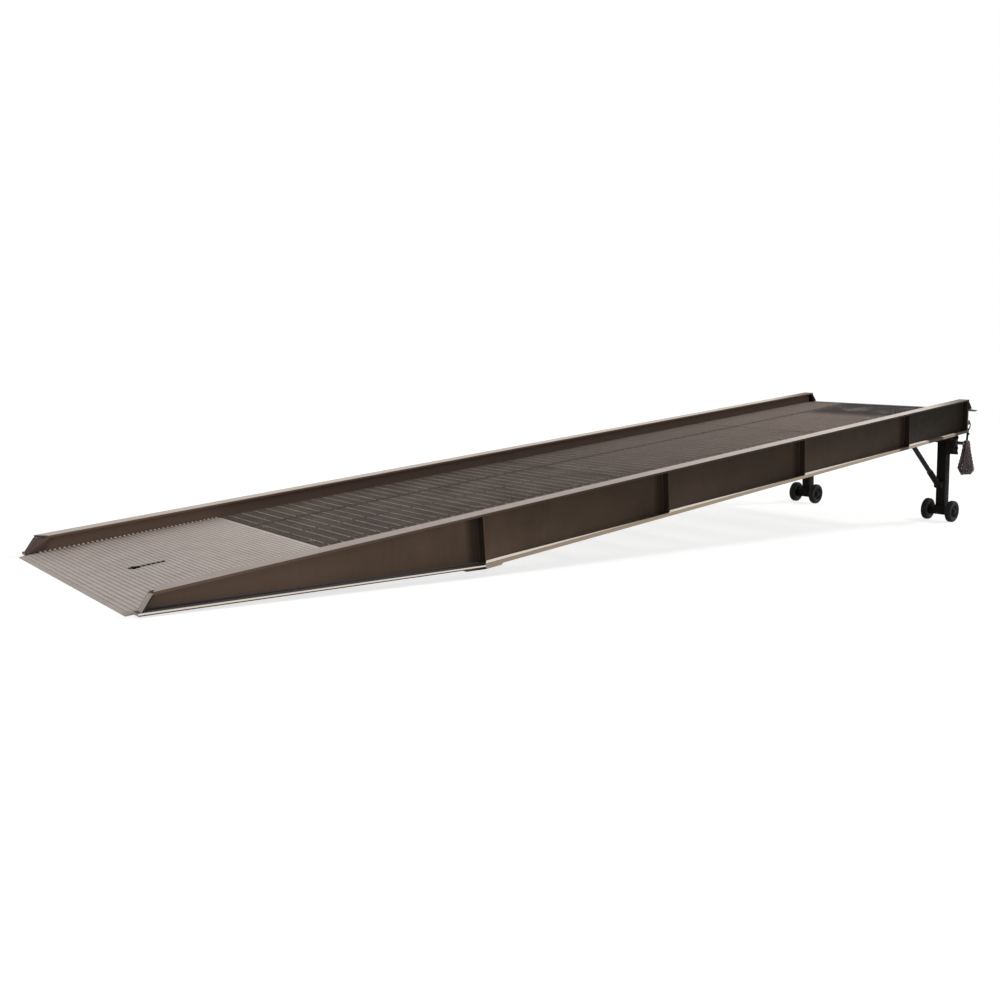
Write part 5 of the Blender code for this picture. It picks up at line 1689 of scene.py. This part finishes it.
@dataclass
class Rams:
    """The two rams between the legs and the beam under the deck."""

    foot: tuple[float, float] = (6.467, -0.900)
    head: tuple[float, float] = (5.870, -0.371)
    barrel: float = 0.031
    barrel_length: float = 0.270
    rod: float = 0.0245
    eye_half: float = 0.025
    pin: float = 0.012
    washer_face: float = 0.0357
    washer: float = 0.0195
    washer_thick: float = 0.0024
    split: float = 0.0016

    def build(self) -> None:
        """Build both rams."""
        for side in Side:
            y = side.value * DECK.leg_offset
            foot = Vector((self.foot[0], y, self.foot[1]))
            head = Vector((self.head[0], y, self.head[1]))
            way = (head - foot).normalized()
            self.lower(side, foot, way)
            self.upper(side, head, -way, (head - foot).length)
            self.pin_ends(side)

    def eye(self, centre: Vector, outer: float, bore: float) -> Object:
        """A bored eye across the ram."""
        return Bench.collar("eye", tuple(centre), bore, outer, self.eye_half, 0.002, steps=32)

    def lower(self, side: Side, foot: Vector, way: Vector) -> None:
        """Barrel with its welded foot, gland nut and oil port.

        Args:
            side: The side of the ramp.
            foot: Middle of the lower eye.
            way: Direction towards the ram's other end.
        """
        r, length, bore = self.barrel, self.barrel_length, self.rod + 0.0010
        section = [(0.0, 0.021), (0.024, 0.021), (0.024, 0.034), (r - 0.002, 0.036), (r, 0.038),
                   (r, length - 0.040), (r - 0.0015, length - 0.039), (r - 0.0015, length - 0.036),
                   (r, length - 0.035), (r, length - 0.003), (r - 0.003, length),
                   (bore, length), (bore, 0.042), (0.0, 0.042)]
        tube = Bench.turned("barrel", section, tuple(foot), tuple(way), 40)
        across = Vector((0.0, side.value, 0.0))
        spot = foot + way * 0.062 + across * (r - 0.003)
        port = Bench.bar("port", tuple(spot), tuple(spot + across * 0.013), 0.010, 6)
        parts = [tube, self.eye(foot, 0.033, self.pin + 0.0010), port]
        piece = Bench.smooth(Bench.join(f"ram_tube_{side.label}", parts))
        Fitter.fix(piece, f"barrel_{side.label}", "leg_steel", Finish.LEG,
                   (f"ram_barrel_{side.label}",))

    def upper(self, side: Side, head: Vector, way: Vector, reach: float) -> None:
        """Rod with its eye.

        Args:
            side: The side of the ramp.
            head: Middle of the upper eye.
            way: Direction towards the ram's other end.
            reach: Distance between the two eyes.
        """
        r = self.rod
        engaged = reach - self.barrel_length + 0.035
        section = [(0.0, 0.023), (r - 0.003, 0.023), (r, 0.027), (r, engaged - 0.002),
                   (r - 0.002, engaged), (0.0, engaged)]
        shaft = Bench.turned("rod", section, tuple(head), tuple(way), 40)
        parts = [shaft, self.eye(head, 0.028, self.pin + 0.0052)]
        piece = Bench.smooth(Bench.join(f"ram_shaft_{side.label}", parts))
        Fitter.fix(piece, f"rod_{side.label}", "bright_steel", Finish.RAM_ROD,
                   (f"ram_rod_{side.label}",))

    def pin_ends(self, side: Side) -> None:
        """Washers and split pins outside the ears of both joints.

        Args:
            side: The side of the ramp.
        """
        for word, (x, z), body in (
            ("lower", self.foot, "undercarriage"), ("upper", self.head, "ramp")
        ):
            parts = []
            for way in (-1.0, 1.0):
                y = side.value * DECK.leg_offset + way * self.washer_face
                parts.append(Bench.bar("washer", (x, y, z), (x, y + way * self.washer_thick, z),
                                       self.washer, 24))
                y += way * (self.washer_thick + 0.0018)
                parts.append(Bench.bar("split", (x, y, z - 0.017), (x, y, z + 0.016),
                                       self.split, 8))
            piece = Bench.smooth(Bench.join(f"ram_pin_washers_{word}_{side.label}", parts))
            Fitter.fix(piece, body, "bright_steel", Finish.IRON)


@dataclass
class Pump:
    """Hand pump on the left web: body, tank, lever, plunger and release knob."""

    face: float = 0.9473
    plate: tuple[float, float, float, float] = (4.422, 4.722, -0.290, -0.070)
    bolt_inset: float = 0.018
    lever_pivot: Triple = (4.457, 1.020, -0.070)
    lever_length: float = 0.520
    lever_angle: float = 0.3490659
    lever_radius: float = 0.011
    grip_length: float = 0.115
    grip_ribs: int = 12
    rib_pitch: float = 0.009

    def build(self) -> None:
        """Build the pump."""
        for node, word, body, finish, slot in (
            ("pump_body", "hand_pump_body", "ramp", Finish.PUMP, "pump_paint"),
            ("oil_tank", "pump_oil_tank", "ramp", Finish.PUMP, "pump_paint"),
            ("release_knob", "pump_release_knob", "knob", Finish.IRON, "wheel_iron"),
        ):
            Fitter.soften(node, word, 0.0012, body, slot, finish)
        Fitter.dress("pump_plunger", Finish.BRIGHT)
        self.plate_bolts()
        self.lever()

    def plate_bolts(self) -> None:
        """Four bolts that hold the pump's plate to the web."""
        left, right, low, high = self.plate
        inset = self.bolt_inset
        bolts = [Bench.hex_bolt("bolt", (x, self.face, z), (0.0, 1.0, 0.0), 0.009, 0.010)
                 for z in (high - inset, low + inset) for x in (left + inset, right - inset)]
        piece = Bench.smooth(Bench.join("pump_plate_bolts", bolts))
        Fitter.fix(piece, "ramp", "bright_steel", Finish.BRIGHT)

    def lever(self) -> None:
        """Lever on its boss, with a ribbed rubber grip."""
        pivot = Vector(self.lever_pivot)
        way = Vector((math.cos(self.lever_angle), 0.0, -math.sin(self.lever_angle)))
        r, end = self.lever_radius, self.lever_length
        section = [(0.0, 0.012), (r, 0.012), (r, end - 0.002), (r - 0.002, end), (0.0, end)]
        rod = Bench.turned("lever_rod", section, tuple(pivot), tuple(way), 24)
        boss = Bench.collar("boss", tuple(pivot), 0.0071, 0.016, 0.013, 0.0012)
        piece = Bench.smooth(Bench.join("pump_lever_bar", [rod, boss]))
        Fitter.fix(piece, "lever", "bright_steel", Finish.BRIGHT, ("pump_lever",))
        start = end - self.grip_length
        outline = [(r - 0.001, start), (r + 0.004, start)]
        for index in range(self.grip_ribs):
            along = start + 0.004 + index * self.rib_pitch
            outline += [(r + 0.004, along), (r + 0.0028, along + 0.002),
                        (r + 0.0028, along + 0.004), (r + 0.004, along + 0.006)]
        outline += [(r + 0.003, end + 0.0005), (0.0, end + 0.0005), (0.0, end - 0.003),
                    (r - 0.001, end - 0.003)]
        grip = Bench.smooth(Bench.turned("lever_grip", outline, tuple(pivot), tuple(way), 24), 50.0)
        Fitter.fix(grip, "lever", "wheel_tread", Finish.GRIP)


@dataclass
class Chains:
    """D-rings in the pad eyes, and the chains bunched on a hanger below each."""

    eye: tuple[float, float, float] = (6.7803, 0.985, -0.248)
    hole: float = 0.012
    wire: float = 0.012
    ring_width: float = 0.048
    ring_height: float = 0.080
    ring_corner: float = 0.010
    neck: float = 0.105
    gather: float = 0.035
    loops: int = 19
    step: float = 0.0038
    spread: float = 0.108
    lean: float = 0.045
    length: float = 0.345
    length_varies: float = 0.022
    half_width: float = 0.0745
    shoulder: float = 0.84
    link_wire: float = 0.0068
    link_width: float = 0.0180
    link_pitch: float = 0.0192
    bar: float = 0.005
    shank: tuple[float, float] = (0.005, 0.010)
    shank_eye: tuple[float, float] = (0.0076, 0.0125)
    fullness: tuple[float, ...] = (1.0, 0.2, 0.64, 0.88, 0.42)
    fold_steps: int = 8
    loop_steps: int = 60

    def build(self) -> None:
        """Build both sides; their meshes are made straight in the world's frame."""
        link = self.link()
        for side in Side:
            x, y, z = self.eye
            spot = DECK.to_world @ Vector((x, side.value * y, z))
            top = spot - Vector((0.0, 0.0, self.hole - self.wire / 2))
            drop = self.ring_height - self.wire + self.neck + self.gather
            gather = top - Vector((0.0, 0.0, drop))
            self.ring(side, top)
            self.hanger(side, top, gather)
            self.hank(side, gather, link)
        bpy.data.objects.remove(link)

    def ring(self, side: Side, top: Vector) -> None:
        """Smooth D-ring, swept from a curve along its centre line.

        Args:
            side: The side of the ramp.
            top: Middle of the ring's straight bar.
        """
        half, corner = self.ring_width / 2 - self.wire / 2, self.ring_corner
        straight = half - corner
        spots = []
        for across, up, radius, first, last, steps in (
            (straight, -corner, corner, 0.5, 0.0, 6),
            (0.0, half + self.wire - self.ring_height, half, 0.0, -1.0, 24),
            (-straight, -corner, corner, 1.0, 0.5, 6),
        ):
            for index in range(steps + 1):
                angle = math.pi * (first + (last - first) * index / steps)
                spots.append(top + Vector((0.0, across + radius * math.cos(angle),
                                           up + radius * math.sin(angle))))
        name = f"d_ring_{side.label}"
        curve = bpy.data.curves.new(name, "CURVE")
        curve.dimensions = "3D"
        curve.bevel_depth = self.wire / 2
        curve.bevel_resolution = 2
        line = curve.splines.new("POLY")
        line.points.add(len(spots) - 1)
        for point, spot in zip(line.points, spots):
            point.co = (*spot, 1.0)
        line.use_cyclic_u = True
        piece = bpy.data.objects.new(name, curve)
        bpy.context.scene.collection.objects.link(piece)
        Bench.take(piece)
        bpy.ops.object.convert(target="MESH")
        piece = bpy.context.object
        with Bench.editing(piece):
            Bench.close_up()
        Fitter.fix(Bench.smooth(piece, 60.0), f"chain_{side.label}", "chain_steel", Finish.LEG,
                   (f"chain_ring_{side.label}",), laid=True)

    def hanger(self, side: Side, top: Vector, gather: Vector) -> None:
        """Flat shank with an eye on the ring, and the bar over which the loops are folded.

        Args:
            side: The side of the ramp.
            top: Middle of the ring's straight bar.
            gather: Middle of the bar over which the loops are folded.
        """
        half = self.loops * self.step / 2 + 0.004
        ends = [tuple(gather + Vector((way * half, 0.0, 0.0))) for way in (-1.0, 1.0)]
        bar = Bench.ease(Bench.bar("hanger_bar", *ends, self.bar), 0.0015)
        stops = [Bench.collar("stop", end, 0.0, 0.010, 0.003, 0.001, (1.0, 0.0, 0.0), 20)
                 for end in ends]
        bow = top - Vector((0.0, 0.0, self.ring_height - self.wire + 0.0012))
        eye = Bench.collar("shank_eye", tuple(bow), *self.shank_eye, 0.007, 0.0008)
        shank = Bench.block("shank", gather - Vector((*self.shank, 0.002)),
                            bow + Vector((*self.shank, -0.0105)))
        seat = (gather + bow) / 2 + Vector((0.0, side.value * 0.0098, 0.02))
        bolt = Bench.hex_bolt("shank_bolt", seat, (0.0, side.value, 0.0), 0.009, 0.010)
        parts = [bar, eye, Bench.ease(shank, 0.0015), bolt, *stops]
        piece = Bench.smooth(Bench.join(f"chain_hanger_{side.label}", parts))
        Fitter.fix(piece, f"chain_{side.label}", "chain_steel", Finish.LEG, laid=True)

    def link(self) -> Object:
        """One oval link about the origin, long along X, with few faces.

        Returns:
            The link.
        """
        radius = self.link_wire / 2
        major = self.link_width / 2 - radius
        stretch = (self.link_pitch + 2 * self.link_wire) / 2 - self.link_width / 2
        Bench.take()
        bpy.ops.mesh.primitive_torus_add(
            major_segments=12, minor_segments=6, major_radius=major, minor_radius=radius
        )
        link = Bench.started("link")
        with Bench.editing(link):
            for way in (-1.0, 1.0):
                Bench.shift(link, lambda point: point.co.x * way > 1e-4,
                            (way * stretch, 0.0, 0.0))
        return Bench.smooth(link, 80.0)

    def route(self, gather: Vector) -> list[Vector]:
        """Centre line of the bunched chain, folded over the hanger between loops.

        Args:
            gather: Middle of the bar over which the loops are folded.

        Returns:
            Points along the line.
        """
        over = self.bar + self.link_width / 2 - 0.001
        spots = []
        for turn in range(self.loops):
            share = 2 * turn / (self.loops - 1) - 1
            along = share * (self.loops - 1) * self.step / 2
            full = math.sqrt(1 - (share * 0.93) ** 2) * self.fullness[turn % len(self.fullness)]
            width = (self.half_width - self.link_width / 2) * full
            length = self.length - self.length_varies * (0.5 + 0.5 * math.cos(2.4 * turn))
            for index in range(self.fold_steps):
                part = index / self.fold_steps
                angle = math.pi * (1 - part)
                drift = self.step * (part - 1) if turn else 0.0
                spots.append(gather + Vector((along + drift, over * math.cos(angle),
                                              over * math.sin(angle))))
            for index in range(self.loop_steps + 1):
                angle = 2 * math.pi * index / self.loop_steps
                down = (1 - math.cos(angle)) / 2
                out = down / self.shoulder
                if out > 1.0:
                    below = (down - self.shoulder) / (1 - self.shoulder)
                    out = math.sqrt(max(0.0, 1 - below ** 2))
                across = math.copysign(width * out, math.sin(angle))
                across += over * math.cos(angle / 2) * (1 - down)
                beside = along + (share * self.spread - along) * min(1.0, down / self.shoulder)
                beside += self.lean * down
                spots.append(gather + Vector((beside, across, -length * down)))
        return spots

    def hank(self, side: Side, gather: Vector, link: Object) -> None:
        """Links all round the loops.

        Args:
            side: The side of the ramp.
            gather: Middle of the bar over which the loops are folded.
            link: The link that is copied.
        """
        links = []
        lines = self.route(gather)
        travelled = [0.0]
        for first, second in zip(lines, lines[1:]):
            travelled.append(travelled[-1] + (second - first).length)
        total = round(travelled[-1] / self.link_pitch)
        segment = 0
        for index in range(total):
            wanted = travelled[-1] * (index + 0.5) / total
            while travelled[segment + 1] < wanted:
                segment += 1
            part = (wanted - travelled[segment]) / (travelled[segment + 1] - travelled[segment])
            spot = lines[segment].lerp(lines[segment + 1], part)
            way = lines[segment + 1] - lines[segment]
            links.append(self.placed(link, spot, way.normalized(), 45.0 + 90.0 * (index % 2)))
        piece = Bench.join(f"chain_links_{side.label}", links)
        Fitter.fix(piece, f"chain_{side.label}", "chain_steel", Finish.CHAIN,
                   (f"safety_chain_{side.label}",), laid=True)

    @staticmethod
    def placed(link: Object, spot: Vector, way: Vector, turn: float) -> Object:
        """A copy of the link at a spot, along a way and turned about it by degrees.

        Args:
            link: The link.
            spot: Its middle.
            way: Direction of its length.
            turn: Degrees that it is turned about its length.

        Returns:
            The copy.
        """
        side = Vector((1.0, 0.0, 0.0))
        side = (side - way * side.dot(way)).normalized()
        other = way.cross(side)
        frame_of_link = Matrix((way, side, other)).transposed().to_4x4()
        roll = Matrix.Rotation(math.radians(turn), 4, "X")
        return Bench.copy(link, Matrix.Translation(spot) @ frame_of_link @ roll)


@dataclass
class Studio:
    """Pale floor, soft light and the camera."""

    place: Triple = (-6.44978, -5.90632, 1.26786)
    turn: Triple = (83.315696, -2.698393, -40.666923)
    lens: float = 36.2318
    floor_half: float = 60.0
    sun_way: Triple = (1.0, -0.15, 0.62)
    sun_power: float = 2.0
    sun_angle: float = 10.0
    sky: float = 0.66
    floor_glow: float = 0.6
    glow_strength: float = 1.25
    # Painted shade: where the floor is dark under the ramp's low end.
    hidden_along: Triple = (-4.2, -3.4, 0.2)
    hidden_across: Triple = (-0.4, 0.4, 0.3)

    def build(self) -> None:
        """Set up floor, world, lamp and camera."""
        self.floor()
        self.world()
        self.sun()
        self.camera()
        bpy.context.scene.view_settings.view_transform = "Standard"

    @staticmethod
    def seen(tree: Tree) -> NodeSocket:
        """1 for what the camera sees, straight or in gloss and glass.

        Args:
            tree: The material's tree.

        Returns:
            The mask.
        """
        path = tree.add("LightPath")
        seen = tree.either(path.outputs["Is Camera Ray"], path.outputs["Is Glossy Ray"])
        return tree.either(seen, path.outputs["Is Transmission Ray"])

    def floor(self) -> None:
        """A wide pale floor that keeps the ramp's shadow."""
        Bench.take()
        bpy.ops.mesh.primitive_plane_add(size=2 * self.floor_half)
        floor = Bench.started("studio_floor")
        pale = bpy.data.materials.new("pale_floor")
        pale.use_nodes = True
        tree = Tree(pale.node_tree)
        along, across, _ = tree.parts("Object")
        # Painted shade: a dark patch without glow on the floor under the low end, seen through the
        # keyhole.
        shade_patch = tree.times(tree.band(along, *self.hidden_along),
                            tree.band(across, *self.hidden_across))
        cloudy = tree.blotches(2.0, 0.0, 1.0)
        colour = tree.cover(chip(240, 239, 237), chip(243, 242, 240), cloudy)
        matt = tree.add("BsdfDiffuse", {"Color": tree.cover(colour, chip(30, 28, 27), shade_patch)})
        glow = tree.add("Emission", {"Color": (1.0, 1.0, 1.0), "Strength": self.glow_strength})
        seen = tree.times(self.seen(tree), tree.rest(shade_patch))
        share = tree.number("MULTIPLY", seen, self.floor_glow)
        both = tree.add("MixShader", {0: share, 1: matt.outputs[0], 2: glow.outputs[0]})
        tree.add("OutputMaterial", {0: both.outputs[0]})
        floor.data.materials.append(pale)
        floor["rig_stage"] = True

    def world(self) -> None:
        """Soft light from all round, white where the camera looks."""
        world = bpy.data.worlds.new("soft_studio")
        world.use_nodes = True
        bpy.context.scene.world = world
        tree = Tree(world.node_tree)
        strength = tree.between(self.seen(tree), self.sky, 1.0)
        light = tree.add("Background", {"Color": (1.0, 1.0, 1.0), "Strength": strength})
        tree.add("OutputWorld", {0: light.outputs[0]})

    def sun(self) -> None:
        """A broad soft key light from the right and near side."""
        lamp = bpy.data.lights.new("key_light", "SUN")
        lamp.energy = self.sun_power
        lamp.angle = math.radians(self.sun_angle)
        key = bpy.data.objects.new("key_light", lamp)
        key.rotation_euler = Vector(self.sun_way).to_track_quat("Z", "Y").to_euler()
        bpy.context.scene.collection.objects.link(key)

    def camera(self) -> None:
        """The camera, at the photograph's view."""
        data = bpy.data.cameras.new("view_camera")
        data.sensor_width = 36.0
        data.sensor_fit = "HORIZONTAL"
        data.lens = self.lens
        data.clip_end = 300.0
        camera = bpy.data.objects.new("view_camera", data)
        camera.location = self.place
        camera.rotation_euler = Euler([math.radians(angle) for angle in self.turn], "XYZ")
        bpy.context.scene.collection.objects.link(camera)
        bpy.context.scene.camera = camera


@dataclass
class SizeNote:
    """Keeps the frame's own box."""

    before: list[list[float]] = field(default_factory=list)

    @staticmethod
    def measure() -> list[list[float]]:
        """The present box as plain lists."""
        return [[float(value) for value in corner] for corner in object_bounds()]

    def write(self) -> None:
        """Does nothing."""


def main() -> None:
    """Build the ramp's assemblies in order, then the studio round it."""
    logging.basicConfig(level=logging.INFO, format="%(message)s")
    sizes = SizeNote()
    sizes.before = sizes.measure()
    Effects.build()
    for assembly in (Studio, Curbs, Floorwork, DockEnd, Undercarriage, Rams, Pump, Chains):
        log.info("Building %s", assembly.__name__)
        assembly().build()
    Bench.take()
    sizes.write()


if __name__ == "__main__":
    main()
